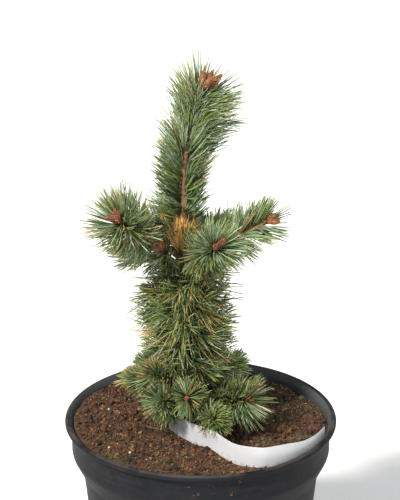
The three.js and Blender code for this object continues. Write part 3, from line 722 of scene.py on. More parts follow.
def make_loose_bits():
    """Everything small that lies on the mix, drawn one kind after the other"""
    random = np.random.default_rng(SEEDS["loose_bits"])
    for make in (make_crumbs, make_chips, make_grit, make_prills, make_smears, make_fibres):
        make(random)


def make_crumbs(random):
    """Crumbs of mix in patches of lighter and darker brown, with moss most of all on the right"""
    x, y = scatter(random, STREWN["crumbs"])
    strip = label_plan[::4] * np.array([1, 1, 0])
    clear = np.hypot(x - TRUNK_LINE[0][0], y - TRUNK_LINE[0][1]) > 12
    clear &= line_gap(strip, np.full(len(strip), 2.0), level(x, y))[0] > 0
    x, y = x[clear], y[clear]
    size = np.minimum(random.gamma(1.5, 0.72, len(x)) + 0.5, 5.5)
    flat = level(x, y)
    mossy = rough(flat, 16, 40, 2) > np.where(x > 45, -0.05, 0.42)
    blotch = 1.5 + 1.7 * rough(flat, 11, 44, 2) + random.normal(0, 0.95, len(x))
    brown = np.clip(np.round(blotch), 0, 4).astype(int)
    numbers = np.where(mossy & (random.random(len(x)) < 0.55), random.integers(5, 7, len(x)), brown)
    heap = Heap()
    crumbs(heap, random, on_mix(x, y, size * 0.18), size, numbers, long=1.35, flat=0.7)
    finishes = [grainy(f"crumb_{k}", code, 0.9, 620, 0.0005, 0.5) for k, code in enumerate(CRUMB_CODES)]
    heap.piece("soil_crumbs", finishes, "potting_mix", [], smooth=False)


def make_chips(random):
    x, y = scatter(random, STREWN["chips"], 16, 101)
    size = random.uniform(1.8, 5.2, len(x))
    numbers = random.integers(0, len(CHIP_CODES), len(x))
    heap = Heap()
    crumbs(heap, random, on_mix(x, y, size * 0.14), size, numbers, long=1.7, flat=0.35)
    finishes = [grainy(f"bark_chip_{k}", code, 0.85, 420, 0.0005) for k, code in enumerate(CHIP_CODES)]
    heap.piece("bark_chips", finishes, "potting_mix", [], smooth=False)


def make_grit(random):
    x, y = scatter(random, STREWN["grit"], 20, 101)
    size = random.uniform(0.5, 1.5, len(x))
    numbers = random.choice(len(GRIT_CODES), len(x), p=[0.2, 0.5, 0.3])
    heap = Heap()
    crumbs(heap, random, on_mix(x, y, size * 0.4), size, numbers)
    finishes = [grainy(f"{name}_grit", code, 0.7, 900, 0.0002, 0.7) for name, code in GRIT_CODES.items()]
    heap.piece("pale_grit", finishes, "potting_mix", [])


def make_prills(random):
    """Green beads of feed, at the places where they show"""
    x, y = PRILL_PLACES.T
    count = len(PRILL_PLACES)
    heap = Heap()
    crumbs(heap, random, on_mix(x, y, 1.1), np.full(count, 3.2), np.zeros(count, int))
    heap.piece("feed_prills", [grainy("green_prill", "a9b48a", 0.4, 500, 0.0001, 0.75)], "potting_mix", [])


def make_smears(random):
    """Small lumps of dried soil stuck on the collar in front, four to each place"""
    spots = np.repeat(SMEAR_PLACES, 4, axis=0)
    x, z = (spots + random.normal(0, 0.8, spots.shape)).T
    stuck = np.stack([x, -np.sqrt((POT["collar"] + 0.1) ** 2 - x ** 2), z], axis=-1)
    size = random.uniform(0.7, 2, len(spots))
    heap = Heap()
    crumbs(heap, random, stuck, size, np.zeros(len(spots), int), long=1.4)
    heap.piece("collar_smears", [grainy("dried_smear", "5c432e", 0.9, 700, 0.0003)], "potting_mix", [])


def make_fibres(random):
    """Short curved fibres of peat, lifted a little in the middle"""
    heap = Heap()
    steps = 5
    for k, (px, py) in enumerate(zip(*scatter(random, STREWN["fibres"], 14, 101))):
        long = random.uniform(2, 9)
        s = np.linspace(0, long, steps)
        turn = random.uniform(0, 2 * math.pi) + random.uniform(-0.12, 0.12) * s
        x, y = px + s * np.cos(turn), py + s * np.sin(turn)
        lift = 0.3 + 0.9 * random.random() * np.sin(np.linspace(0, math.pi, steps))
        if np.hypot(x, y).max() < 103:
            heap.add(*tube(on_mix(x, y, lift), np.linspace(0.24, 0.12, steps), 4), k % len(FIBRE_CODES))
    finishes = [grainy(f"peat_fibre_{k}", code, 0.9, 800, 0.0001) for k, code in enumerate(FIBRE_CODES)]
    heap.piece("peat_fibres", finishes, "potting_mix", [])


# Label
def label_line():
    """The strip's line seen from above, and its lower and upper edge"""
    plan = smooth_line([(x, y, 0) for x, y in LABEL_PLAN], LABEL["steps"])
    share = np.arange(len(plan)) / LABEL["steps"]
    wide = eased(share, LABEL["widen_from"], LABEL["widen_to"])
    band = LABEL["band"] + (LABEL["end"] - LABEL["band"]) * eased(share, LABEL["narrow_from"], 1.04)
    ground = mix_height(plan[:, 0], plan[:, 1])
    high = ground + LABEL["tail"] + (band - LABEL["tail"]) * wide
    return plan, ground - LABEL["sunk"], high


label_plan, label_low, label_high = label_line()


def make_label():
    """A thin strip that stands on edge in the mix, rippled along its middle"""
    outward = np.cross(unit(np.gradient(label_plan, axis=0)), [0, 0, 1.0])
    heights = np.linspace(0, 1, 7)
    half = LABEL["thickness"] / 2
    ripple = LABEL["ripple"] * np.sin(np.linspace(0, LABEL["ripple_turn"], len(label_plan)))
    loop = [(s, 1) for s in heights] + [(s, -1) for s in heights[::-1]]
    rings = []
    for s, side in loop:
        edge = half * (1 if 0 < s < 1 else 0.55)
        z = label_low + s * (label_high - label_low)
        off = side * edge + np.sin(np.pi * s) * ripple
        rings.append(label_plan + outward * off[:, None] + np.stack([0 * z, 0 * z, z], axis=-1))
    rings = np.array(rings).transpose(1, 0, 2)
    vertices = np.vstack([rings.reshape(-1, 3), rings[0].mean(0), rings[-1].mean(0)])
    heap = Heap()
    heap.add(vertices, ring_faces(len(rings), len(loop)))
    label = heap.piece("label_strip", [label_plastic()], "label_plastic", ["plant_label"])
    label.data.set_sharp_from_angle(angle=math.radians(50))


# Trunk, boughs and twigs
trunk_line = smooth_line(TRUNK_LINE, 900) + np.array([0, 0, SOIL_LEVEL + GAP])


def trunk_at(heights):
    """Points of the trunk's axis at heights above the mix"""
    z = np.asarray(heights, float) + SOIL_LEVEL + GAP
    return np.stack([np.interp(z, trunk_line[:, 2], trunk_line[:, k]) for k in range(3)], axis=-1)


def trunk_radius(heights):
    """The trunk's taper, with the flare at its foot"""
    heights = np.asarray(heights, float)
    left = np.clip(1 - heights / TRUNK_LINE[-1][2], 0, 1) ** TRUNK["power"]
    flare = TRUNK["flare"] * np.exp(-heights / TRUNK["flare_height"])
    return TRUNK["tip"] + (TRUNK["foot"] - TRUNK["tip"]) * left + flare


def sleeve_radius(heights):
    """The outside of the eight-sided sleeve that carries the solids' needles on the trunk"""
    return (trunk_radius(heights) * 1.05 + GAP) / math.cos(math.pi / 8) + SLEEVE_THICKNESS


def bark_relief(points, depth):
    """Flaky plates with cracks between them, longer along the limb"""
    stretched = points * np.array([0.42, 0.42, 0.17])
    plates = 1 - 2 * np.abs(cell_noise(stretched, 3) - 0.5)
    fine = 2 * cell_noise(points * np.array([1.1, 1.1, 0.5]), 8) - 1
    return depth * (0.35 - eased(plates, 0.72, 1.0) + 0.25 * fine)


def shoot_line(name):
    """A shoot's whole line from the trunk's axis to its tip, and its length"""
    lift = np.array([0, 0, SOIL_LEVEL + GAP])
    start = trunk_at(SHOOTS[name].height)
    bend, tip = np.array(SHOOTS[name].bend) + lift, np.array(SHOOTS[name].tip) + lift
    s = np.linspace(0, 1, 200)[:, None]
    rise = np.array([0, 0, TWIG_RISE.get(name, 0)]) * np.clip((s - 0.25) / 0.75, 0, 1) ** 2
    return evenly((1 - s) ** 2 * start + 2 * s * (1 - s) * bend + s ** 2 * tip + rise, 120)


def part_of(line, length, start, end, steps):
    """A stretch of a line between two distances from its start"""
    wanted = np.linspace(start, end, steps + 1)
    known = np.linspace(0, length, len(line))
    return np.stack([np.interp(wanted, known, line[:, k]) for k in range(3)], axis=-1)


shoot_lines = {name: shoot_line(name) for name in SHOOTS}
twig_ends = {name: length * TWIG_END.get(name, 1) for name, (_, length) in shoot_lines.items()}
bough_lines = {name: part_of(*shoot_lines[name], 0, SHOOTS[name].bare, 10) for name in SHOOTS}
twig_lines = {
    name: part_of(*shoot_lines[name], SHOOTS[name].bare + GAP, twig_ends[name], 14) for name in SHOOTS
}


def spots_round(points, sides, away):
    """Points round each point of a line, where the relief of its bark is read"""
    turn = circle(sides)
    return points[:, None] + away * np.stack([np.cos(turn), np.sin(turn), 0 * turn], axis=-1)


def make_trunk():
    """From under the mix, with root lobes at the foot, to the tip. Its bark is younger from the whorl up"""
    below = np.array([-5, -2.5])
    above = TRUNK_LINE[-1][2] * np.linspace(0, 1, 330) ** 1.05
    heights = np.concatenate([below, above])
    points = trunk_at(heights)
    points[:2] = trunk_at([0, 0]) + np.array([[0, 0, 1]]) * below[:, None]
    sides = 44
    held = np.clip(heights, 0, None)
    lobes = TRUNK["lobe"] * np.exp(-held / TRUNK["flare_height"])[:, None]
    radii = trunk_radius(held)[:, None] * (1 + lobes * np.cos(TRUNK["lobes"] * circle(sides)))
    spots = spots_round(points, sides, radii[..., None])
    depth = np.repeat(0.45 + 0.55 * (1 - eased(heights, 60, 200)), sides)
    radii = radii + bark_relief(spots.reshape(-1, 3), depth).reshape(radii.shape)
    young = np.repeat(heights[:-1] > 150, sides).astype(int)
    heap = Heap()
    heap.add(*tube(points, radii, sides), [young, 0])
    finishes = [
        bark("old_bark", "33231a", "5d4534", "8a6c52"), bark("young_bark", "3c2b1c", "775b3c", "a3855e"),
    ]
    heap.piece("trunk_bark", finishes, "bark", ["trunk"])


def make_boughs():
    """The bare boughs, a little thicker where they leave the trunk, and the twigs they run on in"""
    boughs, twigs = Heap(), Heap()
    sides = 22
    for name, shoot in SHOOTS.items():
        s = np.linspace(0, shoot.bare, 42)
        points = part_of(*shoot_lines[name], 0, shoot.bare, 41)
        collar = 1.3 * np.exp(-np.clip(s - 4, 0, None) / 2.2)
        radii = (np.interp(s, [0, shoot.bare], BOUGH_RADII) + collar)[:, None]
        spots = spots_round(points, sides, 2)
        relief = bark_relief(spots.reshape(-1, 3), 0.45).reshape(len(points), sides)
        boughs.add(*tube(points, radii + relief, sides))

        points = part_of(*shoot_lines[name], shoot.bare - 0.4, twig_ends[name], 40)
        radii = np.interp(np.linspace(0, 1, len(points)), [0, 1], TWIG_RADII)[:, None]
        spots = spots_round(points, sides, 1)
        relief = 0.25 * rough(spots.reshape(-1, 3), 1.4, 21, 2).reshape(len(points), sides)
        twigs.add(*tube(points, radii + relief, sides))
    brown = bark("bough_bark", "3b281b", "6b4e38", "957454")
    boughs.piece("bough_bark", [brown], "bark", list(SHOOTS))
    tan = bark("twig_bark", "5d452c", "8d7048", "b08f62")
    twigs.piece("twigs", [tan], "bark", [f"{name}_needles" for name in SHOOTS])


# Buds: how some clusters are turned from their twig's line, the leader's six and the right bough's three
BUD_TURN = {
    "left_bough": (-0.3, 0, 0.4), "right_bough": (0.3, -0.36, -0.12), "short_left_bough": (0, 0, 0.7),
}
LEADER_BUDS = {"count": 6, "length": 15, "turn": (0.24, -0.05, 0), "apart": 2.4}
RIGHT_BUDS = {"count": 3, "length": 9.8}
BUD_LENGTH = 11.5
LONE_BUD_LENGTH = 6.5
BUD_SPLAY = math.radians(27)
BUD_RADIUS = 2.45
BUD_ROOT = 1.2

# Radius of a bud, and of the rows of scales on it, at shares of its length
BUD_OUTLINE = ([0, 0.12, 0.4, 0.62, 0.85, 0.96, 1], [0.62, 0.8, 1, 0.86, 0.42, 0.16, 0.02])
SCALES_OUTLINE = ([0, 0.12, 0.4, 0.62, 0.85, 1], [0.62, 0.8, 1, 0.86, 0.42, 0.1])
SCALE_FACES = np.array([
    (6, 1, 2), (6, 2, 5), (0, 6, 5), (0, 5, 3), (3, 5, 4), (5, 2, 4),
    (1, 0, 7), (1, 7, 2), (0, 3, 7), (3, 4, 7), (7, 4, 2), (0, 1, 6),
])
BUD_CODES = {"orange": "8f5932", "red": "6c3c27", "edge": "a8764f", "chestnut": "8a4a2b"}
BUD_COLOURS = list(BUD_CODES)
ORANGE_BUDS = ("leader", "right_bough", "short_left_bough")


def across(direction):
    """Some direction square to the given one"""
    up = np.array([0, 1.0, 0]) if abs(direction[2]) > 0.9 else np.array([0, 0, 1.0])
    return unit(np.cross(direction, up))


def turned_about(v, axis, angle):
    kept = axis * np.dot(axis, v) * (1 - math.cos(angle))
    return v * math.cos(angle) + np.cross(axis, v) * math.sin(angle) + kept


def bud_cluster(line, count, length, turn=(0, 0, 0), apart=1.0):
    """Root, direction and length of the buds round the tip of a line"""
    along = unit(line[-1] - line[-3])
    side = across(along)
    turn = np.array(turn)
    splay = BUD_SPLAY if count > 1 else 0
    buds = []
    for k in range(count):
        out = turned_about(side, along, 2 * math.pi * k / max(count, 2) + 0.5)
        direction = unit(along * math.cos(splay) + out * math.sin(splay) + turn)
        root = line[-1] + along * (GAP + 0.9) + (out + turn * 2) * (apart if count > 1 else 0)
        buds.append((root, direction, length * (1 - 0.06 * (k % 3))))
    return buds


bud_places = {"leader": bud_cluster(trunk_line, **LEADER_BUDS)}
for name, shoot in SHOOTS.items():
    if shoot.buds:
        cluster = {"count": shoot.buds, "length": BUD_LENGTH if shoot.buds > 1 else LONE_BUD_LENGTH}
        if name == "right_bough":
            cluster = RIGHT_BUDS
        bud_places[name] = bud_cluster(twig_lines[name], **cluster, turn=BUD_TURN.get(name, (0, 0, 0.1)))


def add_bud(heap, random, root, direction, length, colour):
    """A pointed bud: a spindle with rows of scales laid over it like tiles"""
    side = across(direction)
    other = np.cross(direction, side)
    start = root - direction * BUD_ROOT
    whole = length + BUD_ROOT
    thick = BUD_RADIUS * min(1, 0.62 + 0.09 * (length - 6))
    s = np.linspace(0, 1, 14)
    heap.add(*tube(start + direction * whole * s[:, None], thick * np.interp(s, *BUD_OUTLINE), 14), colour)
    choices = [colour, BUD_COLOURS.index("edge"), BUD_COLOURS.index("chestnut")]
    rows = int(round(whole / 1.05))
    for row in range(rows):
        low = (row + 0.2) / (rows + 1)
        radius = thick * np.interp(low, *SCALES_OUTLINE)
        count = 8 if radius > 1.6 else 5
        for k in range(count):
            turn = 2 * math.pi * (k + 0.5 * (row % 2) + random.uniform(-0.15, 0.15)) / count
            out = side * math.cos(turn) + other * math.sin(turn)
            flank = np.cross(direction, out) * (1.25 * math.pi * radius / count)
            long = random.uniform(0.94, 1.26) * thick
            base = start + direction * (low * whole) + out * (radius * 0.93)
            rise = unit(direction + out * random.uniform(0.02, 0.2) - out * max(low - 0.45, 0) * 0.9)
            middle = base + rise * long * 0.45
            corners = np.array([
                base - flank * 0.8, base + flank * 0.8, middle + flank, middle - flank,
                base + rise * long + out * 0.15, middle + out * 0.42, base + out * 0.35, middle - out * 0.2,
            ])
            heap.add(corners, [SCALE_FACES], random.choice(choices, p=[0.6, 0.2, 0.2]))


def make_buds():
    random = np.random.default_rng(SEEDS["buds"])
    heap = Heap()
    for name, places in bud_places.items():
        colour = "chestnut" if name in LOW else "orange" if name in ORANGE_BUDS else "red"
        for root, direction, length in places:
            add_bud(heap, random, root, direction, length, BUD_COLOURS.index(colour))
    finishes = [grainy(f"bud_{name}", code, 0.6, 900, 0.0002, 0.6) for name, code in BUD_CODES.items()]
    heap.piece("scaly_buds", finishes, "buds", [f"{name}_buds" for name in bud_places], smooth=False)


# Space for the needles: a point belongs to the mass whose axis is nearest, as in the solids
trunk_steps = np.linspace(0, TRUNK_LINE[-1][2], 34)
roomy = np.any([(trunk_steps > low - SLEEVE_ROOM_BELOW) & (trunk_steps < high)
                for low, high in SLEEVES.values()], axis=0)
axes = {name: (twig_lines[name], np.linspace(2.0, 1.5, 15)) for name in SHOOTS}
axes["trunk"] = (trunk_at(trunk_steps), sleeve_radius(trunk_steps) + SLEEVE_ROOM * roomy)
limbs = {name: (bough_lines[name], np.linspace(*BOUGH_RADII, 11)) for name in SHOOTS}
limbs["trunk"] = (trunk_at(trunk_steps), trunk_radius(trunk_steps) * 1.1)
for name, places in bud_places.items():
    for k, (root, direction, length) in enumerate(places):
        limbs[f"{name}_bud_{k}"] = (np.array([root, root + direction * length]), np.array([2.6, 1.0]))


def in_own_space(p, owner, tier):
    """Whether points are nearest to their owner, and in its tier, column or leader, on the trunk"""
    gaps = {name: line_gap(*axis, p) for name, axis in axes.items()}
    own, foot = gaps[owner]
    free = np.all([own < gap + 0.5 for name, (gap, _) in gaps.items() if name != owner], axis=0)
    if tier is None:
        return free
    out = np.linalg.norm(p[:, :2] - foot[:, :2], axis=1)
    beyond = p[:, 2] - SOIL_LEVEL - GAP - PARTING_SLOPE * out - PARTING_HEIGHT
    return free & (beyond < 0 if tier == "column" else beyond > 0)


def clear_of_pot(p, half):
    """Whether needles of some half thickness stand off the mix, the pot's wall and the label"""
    x, y, z = p.T
    clear = z > mix_height(x, y) + half + 1.6
    clear &= (z > POT["height"] + half) | (np.hypot(x, y) < POT["collar"] - POT["wall"] - 4)
    coarse = slice(None, None, 6)
    strip = label_plan[coarse, :2]
    a, ab = strip[:-1], np.diff(strip, axis=0)
    t = np.clip(np.einsum("nmk,mk->nm", p[:, None, :2] - a, ab) / np.sum(ab * ab, axis=1), 0, 1)
    away = np.linalg.norm(p[:, None, :2] - a - t[..., None] * ab, axis=2)
    near = np.argmin(away, axis=1)
    under = z < label_high[coarse][near] + half + GAP
    return clear & ~(under & (away[np.arange(len(p)), near] < half + LABEL["thickness"] + 0.6))


def clear_of_limbs(p, half, carrier):
    """Whether they stand off the trunk, boughs and buds, all but the one that carries them"""
    others = [limb for name, limb in limbs.items() if name != carrier]
    return np.all([line_gap(*limb, p)[0] > half + 0.4 for limb in others], axis=0)


def reach_of(roots, directions, lengths, owner, tier):
    """How far bundles run before they would leave their space or come near a limb"""
    reach = lengths.copy()
    open_way = np.ones(len(roots), bool)
    step = 2.5
    for s in np.arange(step, lengths.max() + step, step):
        going = np.flatnonzero(open_way & (s < lengths + step / 2))
        if not len(going):
            break
        p = roots[going] + directions[going] * np.minimum(s, lengths[going])[:, None]
        half = 0.9 * (1 - s / lengths.max())
        free = in_own_space(p, owner, tier) & clear_of_pot(p, half)
        free &= clear_of_limbs(p, half, owner if s < 5 else None)
        stopped = going[~free]
        reach[stopped] = s - step
        open_way[stopped] = False
    return reach


# Bundles of five needles
def leant(flat, up, angle):
    """Directions that lean from one way towards another"""
    angle = angle[:, None]
    return unit(flat * np.cos(angle) + up * np.sin(angle))


def varied(long, count, random, share=0.3):
    """Lengths spread evenly about the given one"""
    return long * (1 + share * (random.random(count) - 0.5))


def grown(roots, along, out, aim, owner, tier, tries=4):
    """Bundles at the roots, whose direction and length are drawn again where they run into something"""
    count = len(roots)
    direction, length = aim(np.arange(count))
    reach = reach_of(roots, direction, length, owner, tier)
    for _ in range(tries - 1):
        poor = np.flatnonzero(reach < 0.75 * length)
        if not len(poor):
            break
        new_direction, new_length = aim(poor)
        new_reach = reach_of(roots[poor], new_direction, new_length, owner, tier)
        better = new_reach / new_length > reach[poor] / length[poor]
        taken = poor[better]
        direction[taken], length[taken] = new_direction[better], new_length[better]
        reach[taken] = new_reach[better]
    good = reach > 0.4 * length
    inward = along - direction * dots(along, direction)
    return {"root": roots[good], "direction": direction[good], "length": reach[good],
            "inward": unit(inward[good]), "out": out[good], "height": roots[good, 2] - SOIL_LEVEL}


def around_trunk(height, turn):
    """Points on the trunk's axis, its direction there and the way out from it"""
    points = trunk_at(height)
    along = unit(trunk_at(height + 2) - trunk_at(height - 2))
    side = unit(np.cross(along, [0, 1.0, 0]))
    out = side * np.cos(turn)[:, None] + np.cross(along, side) * np.sin(turn)[:, None]
    return points, along, out


def sleeve_bundles(name, random, density, long, lean_at, jitter, keep, share_of, uneven=0.3):
    """Bundles out of the trunk itself, with rules for their lean, for which are kept and for their length"""
    low, high = SLEEVES[name]
    count = int((high - low) * density)
    share = (np.arange(count) + random.random(count)) / count
    height = low + (high - low) * share
    turn = GOLDEN_TURN * np.arange(count) + random.normal(0, 0.25, count)
    points, along, out = around_trunk(height, turn)
    kept = keep(height, out, random.random(count))
    share, height, points, along, out = (v[kept] for v in (share, height, points, along, out))
    roots = points + out * (trunk_radius(height) * 0.8)[:, None]

    def aim(rows):
        lean = lean_at(share[rows], out[rows]) + jitter * (random.random(len(rows)) - 0.5)
        sway = np.cross(along[rows], out[rows]) * random.normal(0, jitter / 150, len(rows))[:, None]
        length = varied(long, len(rows), random, uneven)
        length = length * share_of(share[rows], out[rows], random.random(len(rows)))
        return unit(leant(out[rows], along[rows], np.radians(lean)) + sway), length

    return grown(roots, along, out, aim, "trunk", name)


def bundles_along(line, share, random, long, spread, owner, tier=None, radius=1.1, keep=None, hang=0.0,
                  stand=0.0):
    """Bundles round a twig at the given shares of its length, the last ones out of its tip"""
    known = np.linspace(0, 1, len(line))
    points = np.stack([np.interp(share, known, line[:, k]) for k in range(3)], axis=-1)
    directions, sides, others = frames_along(line)
    near = np.clip((share * (len(line) - 1)).astype(int), 0, len(line) - 1)
    along, side, other = directions[near], sides[near], others[near]
    turn = GOLDEN_TURN * np.arange(len(share)) + random.normal(0, 0.3, len(share))
    out = side * np.cos(turn)[:, None] + other * np.sin(turn)[:, None]
    if keep is not None:
        kept = keep(share, out, random.random(len(share)))
        share, points, along, out = share[kept], points[kept], along[kept], out[kept]

    def aim(rows):
        wide = spread[0] + (spread[1] - spread[0]) * share[rows] ** 2 + 24 * (random.random(len(rows)) - 0.5)
        wide = np.where(share[rows] >= 1, spread[1] * random.random(len(rows)), wide)
        direction = leant(along[rows], out[rows], np.radians(wide))
        rise = direction[:, 2]
        shorter = hang * np.clip(-rise, 0, 1) + stand * np.clip(rise, 0, 1)
        return direction, varied(long, len(rows), random) * (1 - share[rows] * shorter)

    return grown(points + out * radius, along, out, aim, owner, tier)


def joined(parts):
    """Several lots of bundles as one"""
    return {key: np.concatenate([part[key] for part in parts]) for key in parts[0]}


def side_twigs(line, radius, places, lean, long):
    """Short twigs that leave a limb at the given shares of its length"""
    along, side, other = frames_along(line)
    twigs = []
    for share, turn in places:
        k = int(share * (len(line) - 1))
        out = side[k] * math.cos(turn) + other[k] * math.sin(turn)
        heading = unit(out * math.cos(math.radians(lean)) + along[k] * math.sin(math.radians(lean)))
        root = line[k] + out * (radius[k] - 0.6)
        s = np.linspace(0, 1, 8)[:, None]
        twigs.append(root + heading * long * s + np.array([0, 0, 0.12]) * long * s * s)
    return twigs


def dealt(random, bundles, weights):
    """One tint number for each bundle, drawn by its weights, with darker and paler patches"""
    count = len(bundles["root"])
    patch = 1.5 * (2 * cell_noise(bundles["root"] / 15, 61) - 1)
    patchy = {"deep": 1 - patch, "olive": 1 - patch, "grey": 1 + patch, "pale": 1 + patch}
    table = np.stack([weights.get(name, 0.0) * np.clip(patchy.get(name, np.ones(count)), 0.15, None)
                      for name in TINT_NAMES], axis=1)
    total = np.cumsum(table, axis=1)
    draw = random.random(count)[:, None] * total[:, -1:]
    return np.argmax(total > draw, axis=1)


# Share of a needle's length and of its width for each ring of three corners, and its faces in four groups:
# the outer side, the two inner sides, the tip and the root
NEEDLE_RINGS = [(0, 0.75), (0.3, 1), (0.65, 1), (0.9, 0.68)]
NEEDLE_FACES = [
    [(k, k + 1, k + 4, k + 3) for k in (0, 3, 6)],
    [face for k in (0, 3, 6) for face in ((k + 1, k + 2, k + 5, k + 4), (k + 2, k, k + 3, k + 5))],
    [(9, 10, 12), (10, 11, 12), (11, 9, 12)],
    [(0, 2, 1)],
]
SHEATH_RINGS = [(-0.6, 0.75), (1.4, 0.9), (3.2, 0.55)]
SHEATH_CAPS = np.array([[4, 3, 2, 1, 0], [10, 11, 12, 13, 14]])


def add_needles(heap, sheaths, bundles, tint, random, curl, splay, width=0.95, dry_tips=0.1, stray=0.15):
    """Five needles for each bundle, three-sided, curved and pointed, out of a short papery sheath"""
    root, direction, long = bundles["root"], bundles["direction"], bundles["length"]
    count = len(root)
    side = unit(np.cross(direction, bundles["inward"]))
    other = np.cross(direction, side)
    start = random.uniform(0, 2 * math.pi, count)
    opening = np.radians(random.uniform(*splay, count))
    bend = curl[0] + (curl[1] - curl[0]) * random.random(count)
    dry = TINT_NAMES.index("tan")
    for k in range(5):
        turn = start + 2 * math.pi * (k + random.normal(0, 0.2, count)) / 5
        away = side * np.cos(turn)[:, None] + other * np.sin(turn)[:, None]
        spread = np.tan(opening * random.uniform(0.5, 1.4, count))[:, None]
        heading = unit(direction + away * spread)
        length = (long * random.uniform(0.82, 1.05, count))[:, None]
        back = unit(away - heading * dots(away, heading))
        flank = np.cross(heading, back)
        sideways = flank * random.normal(0, 0.05, count)[:, None]
        bow = (bundles["inward"] * bend[:, None] - away * 0.3 * spread + sideways) * length
        roll = random.normal(0, 0.5, count)[:, None]
        back, flank = back * np.cos(roll) + flank * np.sin(roll), flank * np.cos(roll) - back * np.sin(roll)
        base = root + away * 0.3
        corners = []
        for s, w in NEEDLE_RINGS:
            middle = base + heading * length * s + bow * s * s
            half = 0.5 * width * w
            corners.append(middle + (flank + back * 0.45) * half)
            corners.append(middle + (back * 0.45 - flank) * half)
            corners.append(middle - back * half * 0.8)
        shape = np.stack([*corners, base + heading * length + bow], axis=1)
        at = (np.arange(count) * shape.shape[1])[:, None]
        faces = [np.concatenate([at + np.array(face) for face in group]) for group in NEEDLE_FACES]
        own = np.where(random.random(count) < stray, random.permutation(tint), tint)
        tip = np.where(random.random(count) < dry_tips, dry, own)
        numbers = [np.tile(2 * own, 3), np.tile(2 * own + 1, 6), np.tile(2 * tip, 3), 2 * own]
        heap.add(shape.reshape(-1, 3), faces, numbers)
    add_sheaths(sheaths, random, root, direction, side, other)


def add_sheaths(heap, random, root, direction, side, other):
    """A five-sided sheath round the foot of each bundle"""
    count, sides = len(root), 5
    turn = circle(sides)
    flat = side[:, None] * np.cos(turn)[:, None] + other[:, None] * np.sin(turn)[:, None]
    rings = [root[:, None] + direction[:, None] * s + flat * radius for s, radius in SHEATH_RINGS]
    shape = np.concatenate(rings, axis=1)
    at = (np.arange(count) * shape.shape[1])[:, None, None]
    walls = ring_faces(len(rings), sides, closed_ends=False)[0]
    faces = [(walls + at).reshape(-1, 4), (SHEATH_CAPS + at).reshape(-1, sides)]
    dark = (random.random(count) < 0.5).astype(int)
    heap.add(shape.reshape(-1, 3), faces, [np.repeat(dark, len(walls)), np.repeat(dark, len(SHEATH_CAPS))])


def leader_bundles(random, heap, sheaths):
    """The bottle brush round the top of the trunk, and the golden tuft at its foot"""
    def stem_shows(height, out, draw):
        """Low on the leader, few needles on the viewer's side and thin ones on the right"""
        narrow = 0.6 + 0.14 * eased(height, 205, 235)
        front = 0.9 * eased(-out[:, 1], narrow, 0.9) * (1 - eased(height, 235, 262))
        right = 0.5 * eased(out[:, 0], 0.1, 0.8) * (1 - eased(height, 185, 230))
        return draw > np.maximum(front, right)

    def lean_at(share, out):
        """Steep at the back and front, lower high on the right, and spread in front of the buds"""
        back, front = np.clip(out[:, 1], 0, 1), np.clip(-out[:, 1], 0, 1)
        right, left = np.clip(out[:, 0], 0, 1), np.clip(-out[:, 0], 0, 1)
        spread = eased(share, 0.72, 0.97)
        lean = 20 + (20 + 16 * back - 14 * right + 8 * left) * share ** 0.8
        lean = lean + 24 * right * (1 - eased(share, 0.2, 0.8))
        return lean + front * (22 * eased(share, 0.3, 0.6) - 34 * spread) - 10 * spread * left

    def share_of(share, out, draw):
        """Shorter needles low on the right, and a little shorter on the left up to the top"""
        right, left = np.clip(out[:, 0], 0, 1), np.clip(-out[:, 0], 0, 1)
        low_right = 0.5 * (1 - eased(share, 0.2, 0.75))
        return 1 + right * (0.12 - low_right) - left * (0.18 - 0.06 * eased(share, 0.7, 0.9))

    leader = sleeve_bundles("leader", random, density=4.9, long=34.5, lean_at=lean_at, jitter=26,
                            keep=stem_shows, share_of=share_of)
    top = eased(leader["height"], 235, 272)
    # Painted highlight: needles on the viewer's side get paler and fewer deep tints, for the light they
    # catch
    front = np.clip(-unit(leader["out"])[:, 1], 0, 1)
    weights = {
        "deep": 0.2 - 0.08 * top - 0.06 * front, "mid": 0.34 - 0.08 * front, "grey": 0.3,
        "pale": 0.1 + 0.17 * front, "spring": 0.04 + 0.24 * top, "tan": 0.02 + 0.02 * top,
        "bluish": 0.05, "olive": 0.03,
    }
    tint = dealt(random, leader, weights)
    add_needles(heap, sheaths, leader, tint, random, curl=(0.02, 0.12), splay=(6, 17), width=0.8)
    golden_tuft(random, heap, sheaths)


def golden_tuft(random, heap, sheaths):
    """Last year's needles, which stand steep round the back of the leader's foot"""
    count = 54
    height = random.uniform(147, 155, count)
    points, along, out = around_trunk(height, random.normal(math.pi / 2, 0.55, count))
    roots = points + out * (trunk_radius(height) + 2)[:, None]

    def aim(rows):
        steep = np.radians(90 - random.uniform(6, 36, len(rows)))
        return leant(out[rows], along[rows], steep), varied(29, len(rows), random)

    tuft = grown(roots, along, out, aim, "trunk", "leader")
    tint = dealt(random, tuft, {"amber": 0.62, "golden": 0.14, "tan": 0.06, "brown": 0.08, "olive": 0.1})
    add_needles(heap, sheaths, tuft, tint, random, curl=(-0.05, 0.05), splay=(2, 8), width=0.9)


